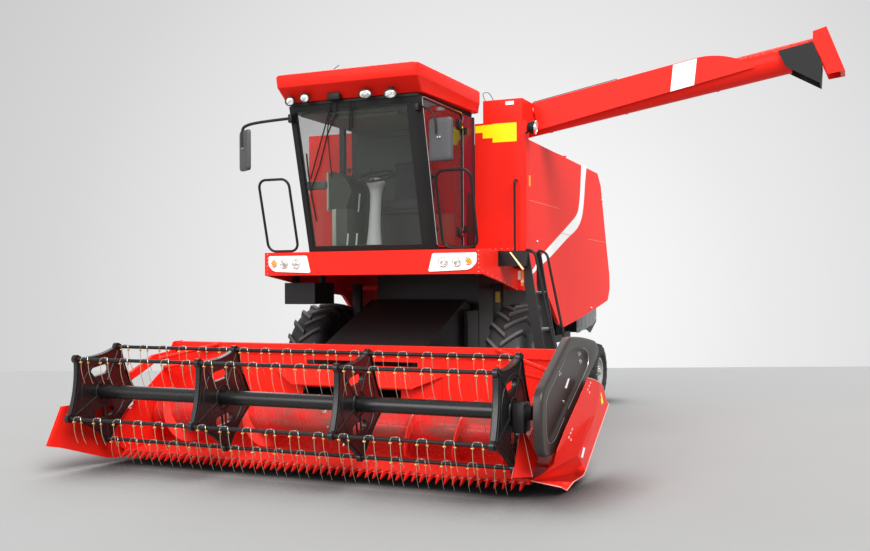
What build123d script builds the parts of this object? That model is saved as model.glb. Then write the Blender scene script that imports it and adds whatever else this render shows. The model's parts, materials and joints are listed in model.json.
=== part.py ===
"""Self-propelled grain combine harvester with its 4.3 m cutting table and bat reel.

Lengths are in millimetres.  X points to the machine's left, Y to its rear and Z up; the machine is
drawn with the front axle over Y = 0 and the ground at Z = 0, and each piece is then set over the
row's origin, which is on the ground under the middle of the whole machine.
"""
import os
from math import cos, pi, radians, sin

from build123d import *

os.makedirs("parts", exist_ok=True)

# Middle of the whole machine, from its own centre line and front axle.
MIDDLE_X = 1124
MIDDLE_Y = 709
OVER_ORIGIN = Location((-MIDDLE_X, -MIDDLE_Y, 0))

FIT = 0.05  # radial play of a shaft in its bearing
PLAY = 6.0  # gap between pieces that move past each other
SEAT = 0.3  # gap between a separate piece and what carries it
SHEET = 8.0  # folded sheet metal with its ribs
PLATE = 20.0
FROM_END = (Align.CENTER, Align.CENTER, Align.MIN)

# Drive wheels and steered wheels.
DRIVE_TYRE_R = 780
DRIVE_TYRE_W = 467
DRIVE_TREAD_R = 735
DRIVE_BEAD_R = 395
DRIVE_WHEEL_X = 1235
DRIVE_LUGS = 22
DRIVE_HUB_R = 60
LUG_LENGTH = 285
LUG_BASE = 62
LUG_DRAFT = 22
LUG_LEAN = 42
LUG_ROOT = 32
LUG_DROP = 8
STEER_TYRE_R = 435
STEER_TYRE_W = 234
STEER_BEAD_R = 222
STEER_WHEEL_X = 1060
STEER_HUB_R = 30
WHEELBASE = 4000
KINGPIN_X = 880
KINGPIN_R = 25

# Body.
RAIL_X = 600
RAIL_W = 80
RAIL_BOTTOM = 900
RAIL_TOP = 1040
BODY_HALF = 660
BODY_FRONT = 170
BODY_TOP = 2090
BODY_REAR = 3650
PANEL_X = 1374
PANEL_T = 40
PANEL_TOP = 3370
HOOD_HALF = 880
HOOD_REAR = 4870
TANK_REAR = 1500
COLUMN_FRONT = -223
COLUMN_BACK = -5
COLUMN_IN = 770
COLUMN_TOP = 3570

# Platform and cab.
DECK_TOP = 2130
DECK_T = 30
DECK_HALF = 1270
DECK_FRONT = -1356
FASCIA_H = 250
CAB_HALF = 750
CAB_REAR = -240
CAB_FRONT = -1280
CAB_LEAN = 400
CAB_TOP = 3640
CAB_POST = 60
GLASS = 8
ROOF_HALF = 845
ROOF_FRONT = -1905
ROOF_TOP = 3890
DOOR_REAR = -600
DOOR_T = 30
DOOR_HINGE_X = CAB_HALF + 50
DOOR_HINGE_R = 8

# Feeder house and cutting table.
FEEDER_Y = -100
FEEDER_Z = 1380
FEEDER_HALF = 600
FEEDER_PIN_R = 40
TABLE_HALF = 2150
TABLE_BACK = -1748
KNIFE_Y = -2577
KNIFE_Z = 120
GUARD_PITCH = 76.2
GUARDS = 2 * TABLE_HALF // GUARD_PITCH
AUGER_Y = -2055
AUGER_Z = 430
AUGER_TUBE_R = 160
AUGER_FLIGHT_R = 285
AUGER_SHAFT_R = 25
AUGER_PITCH = 480
BEAM_Z = 1122
BEAM = 90
BEAM_DEPTH = 102
MOUTH_HALF = 560
MOUTH_BOTTOM = 380
MOUTH_TOP = 735

# Reel.
REEL_Y = -2965
REEL_Z = 750
REEL_BAR_R = 476
REEL_HALF = TABLE_HALF - 40
REEL_TUBE_R = 66
REEL_SHAFT_R = 25
SPIDER_T = 40
BAR_R = 17
BAR_END = TABLE_HALF - 10
FIRST_BAR = -9.5
BARS = 5
TINE = 235
TINE_W = 7
TINE_PAIR = 85
CLIPS_PER_BAY = 6
ARM_X = TABLE_HALF + 50
ARM_T = 40
ARM_PIVOT_Y = -1690
ARM_PIVOT_Z = 1110
ARM_PIN_R = 25

# Lift cylinders of the table.
RAM_X = 430
RAM_FOOT = (-40, 600)
RAM_EYE = (-1250, 450)
RAM_R = 45
RAM_ROD_R = 25
RAM_BARREL = 820
RAM_PIN_R = 20
RAM_DRIFT = 15

# Unloading auger.
SWING_X = 1050
SWING_Y = 350
SWING_Z = 3587
TUBE_R = 150
TUBE_SLOPE = 9.7
TUBE_SLOPE_RATIO = 0.1709
TUBE_LENGTH = 3600
SPIGOT_R = 120
OUTLET_START = TUBE_LENGTH - 650

# Ladder at the left of the platform.
LANDING_FRONT = -820
LADDER_FRONT = -680
LADDER_REAR = -250
LADDER_IN = 1490
LADDER_LEAN = 0.163
LADDER_KNEE = 1767
LADDER_FOOT = 490
LADDER_STEPS = 4
TOP_STEP = 1690
STEP_PITCH = 390
STRINGER_TOP_W = 45
STRINGER_T = 25
HANDRAIL_R = 14


def block(x0, x1, y0, y1, z0, z1, mode=Mode.ADD):
    """Box between two corners, in the sub-part being built."""
    with Locations(((x0 + x1) / 2, (y0 + y1) / 2, (z0 + z1) / 2)):
        Box(x1 - x0, y1 - y0, z1 - z0, mode=mode)


def rod(start, end, radius, mode=Mode.ADD):
    """Round bar or hole between two points, in the sub-part being built."""
    run = Vector(*end) - Vector(*start)
    with Locations(Plane(origin=start, z_dir=run).location):
        Cylinder(radius, run.length, align=FROM_END, mode=mode)


def plate(outline, plane, thickness):
    """Flat plate: a closed outline on a plane, thickened along the plane's normal."""
    with BuildPart() as flat:
        with BuildSketch(plane):
            with BuildLine():
                Polyline(*outline, close=True)
            make_face()
        extrude(amount=thickness)
    return flat.part


def sheet_facet(corners, thickness):
    """Flat facet of a folded sheet, thickened towards the machine's right."""
    face = Face(Wire.make_polygon([Vector(*corner) for corner in corners]))
    return extrude(face, amount=thickness, dir=(-1, 0, 0))


def rounded_outline(corners, radius, plane, thickness):
    """Plate whose corners are rounded alike."""
    with BuildPart() as flat:
        with BuildSketch(plane) as outline:
            with BuildLine():
                Polyline(*corners, close=True)
            make_face()
            fillet(outline.vertices(), radius)
        extrude(amount=thickness)
    return flat.part


def bent_tube(points, radius, bend):
    """Round tube along straight runs joined by equal bends."""
    with BuildPart() as tube:
        with BuildLine():
            route = FilletPolyline(*points, radius=bend)
        with BuildSketch(Plane(origin=route @ 0, z_dir=route % 0)):
            Circle(radius)
        sweep()
    return tube.part


# ---------------------------------------------------------------- wheels
def round_section(profile):
    """Ring about the X axis from its half section."""
    with BuildPart() as ring:
        with BuildSketch(Plane.XZ):
            with BuildLine():
                Polyline(*profile, close=True)
            make_face()
        revolve(axis=Axis.X)
    return ring.part


def tyre_bar(row):
    """One bar of the tread, leaning back from the middle of the tyre towards its shoulder."""
    reach = DRIVE_TYRE_W / 4
    lean = Location((row * reach, 0, 0), (0, 0, 1), row * LUG_LEAN)
    with BuildPart() as bar:
        with BuildSketch(Plane.XY.offset(DRIVE_TREAD_R - LUG_ROOT)):
            with Locations(lean):
                Rectangle(LUG_LENGTH, LUG_BASE)
        with BuildSketch(Plane.XY.offset(DRIVE_TYRE_R - LUG_DROP)):
            with Locations(lean):
                Rectangle(LUG_LENGTH - LUG_DRAFT, LUG_BASE - LUG_DRAFT)
        loft()
    return bar.part


half = DRIVE_TYRE_W / 2
with BuildPart() as drive_tyre:
    add(round_section([
        (-half * 0.62, DRIVE_BEAD_R), (-half * 0.98, DRIVE_BEAD_R + 110), (-half * 0.96, DRIVE_TREAD_R - 90),
        (-half * 0.80, DRIVE_TREAD_R - 12), (half * 0.80, DRIVE_TREAD_R - 12), (half * 0.96, DRIVE_TREAD_R - 90),
        (half * 0.98, DRIVE_BEAD_R + 110), (half * 0.62, DRIVE_BEAD_R),
    ]))
    pitch = 360 / DRIVE_LUGS
    add([tyre_bar(row).rotate(Axis.X, pitch * (turn + 0.25 * row)) for row in (-1, 1) for turn in range(DRIVE_LUGS)])

half = STEER_TYRE_W / 2
with BuildPart() as steer_tyre:
    add(round_section([
        (-half * 0.70, STEER_BEAD_R), (-half, STEER_BEAD_R + 95), (-half * 0.72, STEER_TYRE_R - 8),
        (-half * 0.50, STEER_TYRE_R), (half * 0.50, STEER_TYRE_R), (half * 0.72, STEER_TYRE_R - 8),
        (half, STEER_BEAD_R + 95), (half * 0.70, STEER_BEAD_R),
    ]))


def rim(bead_r, width, hub_r, dish):
    """Pressed rim with its dished disc, which sits on a hub."""
    return round_section([
        (-width, bead_r), (width, bead_r), (width, bead_r - 28), (width * 0.55, bead_r - 60),
        (dish + 14, bead_r - 70), (dish + 14, hub_r * 2.6), (dish + 60, hub_r * 2.2), (dish + 60, hub_r + FIT),
        (dish - 50, hub_r + FIT), (dish - 50, hub_r * 2.2), (dish, hub_r * 2.6), (dish, bead_r - 70),
        (-width * 0.55, bead_r - 60), (-width, bead_r - 28),
    ])


DRIVE_DISH = -40
STEER_DISH = -10
drive_rim = rim(DRIVE_BEAD_R, DRIVE_TYRE_W * 0.31, DRIVE_HUB_R, DRIVE_DISH)
steer_rim = rim(STEER_BEAD_R, STEER_TYRE_W * 0.35, STEER_HUB_R, STEER_DISH)
front_place = Location((DRIVE_WHEEL_X, 0, DRIVE_TYRE_R))
rear_place = Location((STEER_WHEEL_X, WHEELBASE, STEER_TYRE_R))
for node, wheel_piece, place in (
    ("front_tyre", drive_tyre.part, front_place), ("front_rim", drive_rim, front_place),
    ("rear_tyre", steer_tyre.part, rear_place), ("rear_rim", steer_rim, rear_place),
):
    left = wheel_piece.moved(place)
    left.label = f"{node}_left"
    export_step(left.moved(OVER_ORIGIN), f"parts/{node}_left.step")
    right = mirror(left, about=Plane.YZ)
    right.label = f"{node}_right"
    export_step(right.moved(OVER_ORIGIN), f"parts/{node}_right.step")


# ---------------------------------------------------------------- axles and chassis
HITCH_Y = WHEELBASE + 290
HITCH_Z = 560
HITCH_PIN_R = 16
CHEEK_X = FEEDER_HALF + PLAY
CHEEK_T = 50

with BuildPart() as front_axle:
    rod((-760, 0, DRIVE_TYRE_R), (760, 0, DRIVE_TYRE_R), 90)
    block(-260, 260, -170, 230, DRIVE_TYRE_R - 190, DRIVE_TYRE_R + 110)
    for side in (-1, 1):
        rod((side * 740, 0, DRIVE_TYRE_R), (side * 960, 0, DRIVE_TYRE_R), 215)
        spindle_end = DRIVE_WHEEL_X + DRIVE_DISH + 70
        rod((side * 960, 0, DRIVE_TYRE_R), (side * spindle_end, 0, DRIVE_TYRE_R), DRIVE_HUB_R)
        block(side * RAIL_X - 60, side * RAIL_X + 60, -75, 75, DRIVE_TYRE_R, RAIL_BOTTOM)
        for ear in (-1, 1):
            middle = side * RAM_X + ear * 42
            block(middle - 10, middle + 10, RAM_FOOT[0] - 40, RAM_FOOT[0] + 50, RAM_FOOT[1] - 40, DRIVE_TYRE_R)
        rod((side * RAM_X - 52, *RAM_FOOT), (side * RAM_X + 52, *RAM_FOOT), RAM_PIN_R)
front_axle.part.label = "front_axle"
export_step(front_axle.part.moved(OVER_ORIGIN), "parts/front_axle.step")

with BuildPart() as rear_axle:
    block(-KINGPIN_X + 90, KINGPIN_X - 90, WHEELBASE - 60, WHEELBASE + 60, STEER_TYRE_R - 50, STEER_TYRE_R + 70)
    for side in (-1, 1):
        rod((side * KINGPIN_X, WHEELBASE, STEER_TYRE_R - 50), (side * KINGPIN_X, WHEELBASE, STEER_TYRE_R + 70), 45)
        block(min(side * KINGPIN_X, side * (KINGPIN_X - 100)), max(side * KINGPIN_X, side * (KINGPIN_X - 100)),
              WHEELBASE - 40, WHEELBASE + 40, STEER_TYRE_R - 50, STEER_TYRE_R + 70)
        rod((side * KINGPIN_X, WHEELBASE, STEER_TYRE_R - 50), (side * KINGPIN_X, WHEELBASE, STEER_TYRE_R + 70),
            KINGPIN_R + FIT, mode=Mode.SUBTRACT)
    block(-90, 90, WHEELBASE - 60, WHEELBASE + 60, STEER_TYRE_R + 70, STEER_TYRE_R + 170)
rear_axle.part.label = "rear_axle"
export_step(rear_axle.part.moved(OVER_ORIGIN), "parts/rear_axle.step")

for side_name, side in (("left", 1), ("right", -1)):
    with BuildPart() as knuckle:
        outer = side * (KINGPIN_X + 80)
        for level in (STEER_TYRE_R - 50 - PLAY - 25, STEER_TYRE_R + 70 + PLAY):
            block(min(side * (KINGPIN_X - 45), outer), max(side * (KINGPIN_X - 45), outer),
                  WHEELBASE - 45, WHEELBASE + 45, level, level + 25)
        block(min(side * (KINGPIN_X + 52), outer), max(side * (KINGPIN_X + 52), outer),
              WHEELBASE - 45, WHEELBASE + 45, STEER_TYRE_R - 81, STEER_TYRE_R + 101)
        rod((side * KINGPIN_X, WHEELBASE, STEER_TYRE_R - 81), (side * KINGPIN_X, WHEELBASE, STEER_TYRE_R + 101),
            KINGPIN_R)
        rod((side * (KINGPIN_X + 50), WHEELBASE, STEER_TYRE_R),
            (side * (STEER_WHEEL_X + STEER_DISH + 66), WHEELBASE, STEER_TYRE_R), STEER_HUB_R)
        block(side * KINGPIN_X - 30, side * KINGPIN_X + 30, WHEELBASE + 45, WHEELBASE + 190,
              STEER_TYRE_R - 81, STEER_TYRE_R - 56)
    knuckle.part.label = f"steering_knuckle_{side_name}"
    export_step(knuckle.part.moved(OVER_ORIGIN), f"parts/steering_knuckle_{side_name}.step")

with BuildPart() as chassis_frame:
    for side in (-1, 1):
        block(side * RAIL_X - RAIL_W / 2, side * RAIL_X + RAIL_W / 2, -100, WHEELBASE + 200, RAIL_BOTTOM, RAIL_TOP)
        cheek = side * (CHEEK_X + CHEEK_T / 2)
        block(cheek - CHEEK_T / 2, cheek + CHEEK_T / 2, FEEDER_Y - 80, BODY_FRONT - SEAT, RAIL_TOP, FEEDER_Z + 90)
        block(cheek - CHEEK_T / 2, cheek + CHEEK_T / 2, FEEDER_Y, BODY_FRONT, RAIL_BOTTOM, RAIL_TOP)
        rod((side * (FEEDER_HALF - 40), FEEDER_Y, FEEDER_Z), (side * (CHEEK_X + 5), FEEDER_Y, FEEDER_Z), FEEDER_PIN_R)
    for cross in (700, WHEELBASE - 500, WHEELBASE + 140):
        block(-RAIL_X, RAIL_X, cross - 40, cross + 40, RAIL_BOTTOM, RAIL_TOP)
    block(-120, 120, WHEELBASE - 70, WHEELBASE + 180, STEER_TYRE_R + 170, RAIL_BOTTOM)
    block(-RAIL_X, RAIL_X, WHEELBASE - 40, WHEELBASE + 140, RAIL_BOTTOM, RAIL_TOP)
    block(-60, 60, WHEELBASE + 180, HITCH_Y + 45, HITCH_Z + 60, HITCH_Z + 85)
    block(-60, 60, WHEELBASE + 180, HITCH_Y + 45, HITCH_Z, HITCH_Z + 25)
    block(-60, 60, WHEELBASE + 150, WHEELBASE + 182, HITCH_Z, STEER_TYRE_R + 230)
    rod((0, HITCH_Y, HITCH_Z - 5), (0, HITCH_Y, HITCH_Z + 90), HITCH_PIN_R, mode=Mode.SUBTRACT)
chassis_frame.part.label = "chassis_frame"
export_step(chassis_frame.part.moved(OVER_ORIGIN), "parts/chassis_frame.step")

# ---------------------------------------------------------------- body
# Columns of the outline: rearward, up.
BODY_SIDE = [(BODY_FRONT, RAIL_TOP), (BODY_REAR, RAIL_TOP), (BODY_REAR, 1750), (3250, BODY_TOP), (BODY_FRONT, BODY_TOP)]
SHOE_SIDE = [(760, RAIL_TOP), (930, 760), (1150, 700), (1380, 740), (1800, 880), (2250, 780), (2480, 800),
             (3300, RAIL_TOP)]
with BuildPart() as thresher_body:
    add(plate(BODY_SIDE, Plane.YZ.offset(-BODY_HALF), 2 * BODY_HALF))
    shoe_half = RAIL_X - RAIL_W / 2 - PLAY
    add(plate(SHOE_SIDE, Plane.YZ.offset(-shoe_half), 2 * shoe_half))
thresher_body.part.label = "thresher_body"
export_step(thresher_body.part.moved(OVER_ORIGIN), "parts/thresher_body.step")

HOOD_SIDE = [(BODY_REAR + SEAT, 1060), (BODY_REAR + SEAT, 2250), (4350, 2180), (HOOD_REAR, 1500), (HOOD_REAR, 1160),
             (4500, 1000), (4300, 1060)]
with BuildPart() as straw_hood:
    add(plate(HOOD_SIDE, Plane.YZ.offset(-HOOD_HALF), 2 * HOOD_HALF))
    inner = [(BODY_REAR + SEAT, 900), (BODY_REAR + SEAT, 2250 - PLATE), (4335, 2180 - PLATE), (HOOD_REAR - PLATE, 1492),
             (HOOD_REAR - PLATE, 1300), (HOOD_REAR - 150, 900)]
    add(plate(inner, Plane.YZ.offset(-HOOD_HALF + PLATE), 2 * HOOD_HALF - 2 * PLATE), mode=Mode.SUBTRACT)
    for side in (-1, 1):
        block(*sorted((side * (BODY_HALF - 40), side * HOOD_HALF)), BODY_REAR + SEAT, BODY_REAR + PLATE, 1060, 1740)
straw_hood.part.label = "straw_hood"
export_step(straw_hood.part.moved(OVER_ORIGIN), "parts/straw_hood.step")

TANK_HALF = PANEL_X - PANEL_T - SEAT
with BuildPart() as grain_tank:
    block(-TANK_HALF, TANK_HALF, 0, TANK_REAR, BODY_TOP + SEAT, PANEL_TOP)
    with BuildSketch(Plane.XY.offset(BODY_TOP + 60)):
        with Locations((0, TANK_REAR / 2)):
            Rectangle(700, 260)
    with BuildSketch(Plane.XY.offset(BODY_TOP + 560)):
        with Locations((0, TANK_REAR / 2)):
            Rectangle(2 * TANK_HALF - 2 * PLATE, TANK_REAR - 2 * PLATE)
    loft(mode=Mode.SUBTRACT)
    block(-TANK_HALF + PLATE, TANK_HALF - PLATE, PLATE, TANK_REAR - PLATE, BODY_TOP + 560, PANEL_TOP, mode=Mode.SUBTRACT)
grain_tank.part.label = "grain_tank"
export_step(grain_tank.part.moved(OVER_ORIGIN), "parts/grain_tank.step")

with BuildPart() as front_columns:
    for side in (-1, 1):
        ends = sorted((side * COLUMN_IN, side * PANEL_X))
        block(*ends, COLUMN_FRONT, -155, 1880, COLUMN_TOP)
        ends = sorted((side * COLUMN_IN, side * (PANEL_X - PANEL_T - SEAT)))
        block(*ends, -155, COLUMN_BACK, 2000, COLUMN_TOP)
    block(870, 1330, COLUMN_FRONT, 165, COLUMN_TOP, 3820)
front_columns.part.label = "front_columns"
export_step(front_columns.part.moved(OVER_ORIGIN), "parts/front_columns.step")

PANEL_SIDE = [(-150, 1690), (-150, PANEL_TOP), (3010, PANEL_TOP - 60), (3195, 3150), (3499, 2349), (3690, 1890),
              (3700, 1690), (3570, 1520), (2869, 1425), (1866, 1300), (1240, 1236), (1000, 1290), (560, 1640)]
with BuildPart() as side_panels:
    for side in (-1, 1):
        face = PANEL_X - PANEL_T if side > 0 else -PANEL_X
        with BuildSketch(Plane.YZ.offset(face)) as outline:
            with BuildLine():
                Polyline(*PANEL_SIDE, close=True)
            make_face()
            fillet(outline.vertices().filter_by_position(Axis.X, 500, 1100), 150)
            fillet(outline.vertices().filter_by_position(Axis.X, 2950, 3250), 80)
            fillet(outline.vertices().filter_by_position(Axis.X, 3550, 3760), 70)
        extrude(amount=PANEL_T)
    for brace_y in (700, 2300, 3300):
        for side in (-1, 1):
            ends = sorted((side * (BODY_HALF + SEAT), side * (PANEL_X - PANEL_T)))
            block(*ends, brace_y - 25, brace_y + 25, 1700, 1750)
side_panels.part.label = "side_panels"
export_step(side_panels.part.moved(OVER_ORIGIN), "parts/side_panels.step")

with BuildPart() as rear_cover:
    cover_half = PANEL_X - PANEL_T - SEAT
    add(plate([(3010, 3300), (3030, 3300), (3640, 1880), (3640, 1790), (3620, 1790), (3620, 1876)],
              Plane.YZ.offset(-cover_half), 2 * cover_half))
rear_cover.part.label = "rear_cover"
export_step(rear_cover.part.moved(OVER_ORIGIN), "parts/rear_cover.step")

ENGINE_Y = 2250
ENGINE_FOOT = BODY_TOP + SEAT
with BuildPart() as engine:
    # Cross-mounted engine: sump, crankcase, head and rocker cover, one above the other.
    block(-400, 480, ENGINE_Y - 210, ENGINE_Y + 210, BODY_TOP + 80, 2360)
    block(-420, 520, ENGINE_Y - 290, ENGINE_Y + 290, 2360, 2720)
    block(-400, 500, ENGINE_Y - 230, ENGINE_Y + 150, 2720, 2860)
    block(-380, 480, ENGINE_Y - 190, ENGINE_Y + 90, 2860, 2930)
    block(520, 600, ENGINE_Y - 280, ENGINE_Y + 280, 2260, 2740)
    rod((600, ENGINE_Y, 2500), (690, ENGINE_Y, 2500), 240)
    rod((-420, ENGINE_Y, 2500), (-500, ENGINE_Y, 2500), 110)
    rod((-420, ENGINE_Y, 2690), (-720, ENGINE_Y, 2690), 45)
    # Manifold with its ports, the stub of the exhaust and the air cleaner.
    rod((-380, ENGINE_Y - 310, 2790), (420, ENGINE_Y - 310, 2790), 42)
    for port in range(4):
        block(-330 + 210 * port, -270 + 210 * port, ENGINE_Y - 310, ENGINE_Y - 220, 2765, 2815)
    rod((-150, ENGINE_Y - 310, 2790), (-150, ENGINE_Y - 310, 2980), 55)
    rod((60, ENGINE_Y + 330, 2960), (520, ENGINE_Y + 330, 2960), 115)
    block(250, 330, ENGINE_Y + 140, ENGINE_Y + 330, 2780, 2860)
    block(250, 330, ENGINE_Y + 240, ENGINE_Y + 330, 2860, 2900)
    for foot_x in (-330, 430):
        for foot_y in (ENGINE_Y - 330, ENGINE_Y + 230):
            block(foot_x - 50, foot_x + 50, foot_y, foot_y + 100, ENGINE_FOOT, 2420)
engine.part.label = "engine"
export_step(engine.part.moved(OVER_ORIGIN), "parts/engine.step")

with BuildPart() as radiator:
    block(-1180, -1040, 1750, 2750, BODY_TOP + 200, 3150)
    block(-1165, -1039, 1800, 2700, BODY_TOP + 250, 3100, mode=Mode.SUBTRACT)
    block(-1150, -1060, 1790, 2710, BODY_TOP + 240, 3110)
    block(-1040, -1030, 1750, 2750, BODY_TOP + 200, 3150)
    rod((-1041, ENGINE_Y, 2690), (-1029, ENGINE_Y, 2690), 360, mode=Mode.SUBTRACT)
    for post in (1800, 2640):
        block(-1180, -1040, post, post + 60, ENGINE_FOOT, BODY_TOP + 200)
    block(-1180, -BODY_HALF + 60, 1790, 2710, ENGINE_FOOT, BODY_TOP + 20)
radiator.part.label = "radiator"
export_step(radiator.part.moved(OVER_ORIGIN), "parts/radiator.step")

EXHAUST_X = -150
EXHAUST_Y = ENGINE_Y - 310
EXHAUST_FOOT = 2980 + SEAT
with BuildPart() as exhaust:
    rod((EXHAUST_X, EXHAUST_Y, EXHAUST_FOOT), (EXHAUST_X, EXHAUST_Y, 3120), 40)
    rod((EXHAUST_X, EXHAUST_Y, 3120), (EXHAUST_X, EXHAUST_Y, 3600), 100)
    rod((EXHAUST_X, EXHAUST_Y, 3600), (EXHAUST_X, EXHAUST_Y, 3800), 40)
exhaust.part.label = "exhaust"
export_step(exhaust.part.moved(OVER_ORIGIN), "parts/exhaust.step")

# ---------------------------------------------------------------- platform
FLOOR_BOTTOM = DECK_TOP - DECK_T
with BuildPart() as deck:
    block(-DECK_HALF, DECK_HALF, DECK_FRONT, COLUMN_FRONT - SEAT, FLOOR_BOTTOM, DECK_TOP)
    block(-DECK_HALF, DECK_HALF, DECK_FRONT, DECK_FRONT + PLATE, DECK_TOP - FASCIA_H, DECK_TOP)
    fascia_side = [(DECK_FRONT, DECK_TOP), (DECK_FRONT, DECK_TOP - FASCIA_H), (-800, 1800), (-230, 1700), (-230, DECK_TOP)]
    for face in (-DECK_HALF, DECK_HALF - PLATE):
        add(plate(fascia_side, Plane.YZ.offset(face), PLATE))
    for side in (-1, 1):
        ends = sorted((side * 700, side * 760))
        block(*ends, -1250, -230, 1960, FLOOR_BOTTOM)
        ends = sorted((side * (BODY_HALF + SEAT), side * 760))
        block(*ends, -240, 300, 1960, 2020)
deck.part.label = "deck"
export_step(deck.part.moved(OVER_ORIGIN), "parts/deck.step")

with BuildPart() as headlamps:
    left_lamp = [(740, 2090), (1215, 2090), (1215, 1990), (1150, 1925), (690, 1905)]
    add(plate(left_lamp, Plane.XZ.offset(-DECK_FRONT + SEAT), 12))
    right_lamp = [(-x, z) for x, z in reversed(left_lamp)]
    add(plate(right_lamp, Plane.XZ.offset(-DECK_FRONT + SEAT), 12))
    for side in (-1, 1):
        for lamp_x in (856, 1025, 1160):
            rod((side * lamp_x, DECK_FRONT - 12, 2005), (side * lamp_x, DECK_FRONT - 22, 2005), 42)
headlamps.part.label = "headlamps"
export_step(headlamps.part.moved(OVER_ORIGIN), "parts/headlamps.step")

LANDING_TOP = DECK_TOP - 10
LANDING_OUT = LADDER_IN + STRINGER_TOP_W
LANDING_T = 8


def ladder_x(level):
    """Inner edge of the ladder, which leans outward below its knee."""
    return LADDER_IN + LADDER_LEAN * max(0, LADDER_KNEE - level)


def ladder_out(level):
    """Outer edge of the ladder, which leans outward all the way down."""
    return LANDING_OUT + LADDER_LEAN * (LANDING_TOP - level)


VALANCE = [(LANDING_FRONT - 60, LANDING_TOP), (LANDING_FRONT - 60, 1964), (-441, 1972), (-342, 1942),
           (COLUMN_FRONT - PLAY, 1942), (COLUMN_FRONT - PLAY, LANDING_TOP)]
with BuildPart() as ladder:
    under = LANDING_TOP - LANDING_T
    block(DECK_HALF + SEAT, LADDER_IN + 20, LANDING_FRONT, COLUMN_FRONT - PLAY, under, LANDING_TOP)
    block(PANEL_X + PLAY, LADDER_IN + 20, COLUMN_FRONT - 40, LADDER_REAR + STRINGER_T, under, LANDING_TOP)
    block(DECK_HALF + SEAT, LANDING_OUT, LANDING_FRONT, LANDING_FRONT + SHEET, LANDING_TOP - 160, LANDING_TOP)
    block(LADDER_IN + 10, LANDING_OUT, LANDING_FRONT, LADDER_FRONT + STRINGER_T, LANDING_TOP - 160, under)
    add(plate(VALANCE, Plane.YZ.offset(DECK_HALF + SEAT), SHEET))
    for stringer_y in (LADDER_FRONT, LADDER_REAR):
        stringer = [(LADDER_IN, LANDING_TOP), (LANDING_OUT, LANDING_TOP), (ladder_out(LADDER_FOOT), LADDER_FOOT),
                    (ladder_x(LADDER_FOOT), LADDER_FOOT), (LADDER_IN, LADDER_KNEE)]
        add(plate(stringer, Plane.XZ.offset(-stringer_y - STRINGER_T), STRINGER_T))
        # Handrail: out from the landing, down beside the ladder and back to it near the foot.
        rail_y = stringer_y + STRINGER_T / 2
        route = [(LADDER_IN + 15, rail_y, LANDING_TOP + 10), (LADDER_IN + 110, rail_y, LANDING_TOP + 10),
                 (ladder_out(LADDER_FOOT) + 75, rail_y, 780), (ladder_out(700) - 12, rail_y, 700)]
        add(bent_tube(route, HANDRAIL_R, 90))
    for step in range(LADDER_STEPS):
        level = TOP_STEP - STEP_PITCH * step
        block(ladder_x(level) + 4, ladder_out(level) - 6, LADDER_FRONT, LADDER_REAR, level - 24, level)
ladder.part.label = "ladder"
export_step(ladder.part.moved(OVER_ORIGIN), "parts/ladder.step")

LOOP_LEAN = 0.27
LOOP_Y = -1340
LOOP_TOP = 2905
LOOP_FOOT = DECK_TOP + SEAT + HANDRAIL_R
with BuildPart() as handrails:
    for side in (-1, 1):
        top_y = LOOP_Y - (LOOP_TOP - LOOP_FOOT) * LOOP_LEAN
        loop = [(side * 1036, LOOP_Y, LOOP_FOOT), (side * 1225, LOOP_Y, LOOP_FOOT), (side * 1225, top_y, LOOP_TOP),
                (side * 850, top_y, LOOP_TOP), (side * 850, LOOP_Y, LOOP_FOOT), (side * 1035, LOOP_Y, LOOP_FOOT)]
        add(bent_tube(loop, HANDRAIL_R, 90))
    grab = [(1262, -300, DECK_TOP + SEAT), (1262, -300, 2915), (1262, COLUMN_FRONT - SEAT, 2915)]
    add(bent_tube(grab, HANDRAIL_R - 2, 35))
handrails.part.label = "handrails"
export_step(handrails.part.moved(OVER_ORIGIN), "parts/handrails.step")

with BuildPart() as battery_box:
    block(-1240, -850, -1000, -560, 1560, 1800)
    block(-1240, -1200, -820, -740, 1800, FLOOR_BOTTOM - SEAT)
    block(-900, -860, -820, -740, 1800, FLOOR_BOTTOM - SEAT)
battery_box.part.label = "battery_box"
export_step(battery_box.part.moved(OVER_ORIGIN), "parts/battery_box.step")


# ---------------------------------------------------------------- cab
def lean_y(level):
    """Front face of the cab, which leans forward as it rises."""
    return CAB_FRONT - CAB_LEAN * (level - DECK_TOP) / (CAB_TOP - DECK_TOP)


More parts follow.
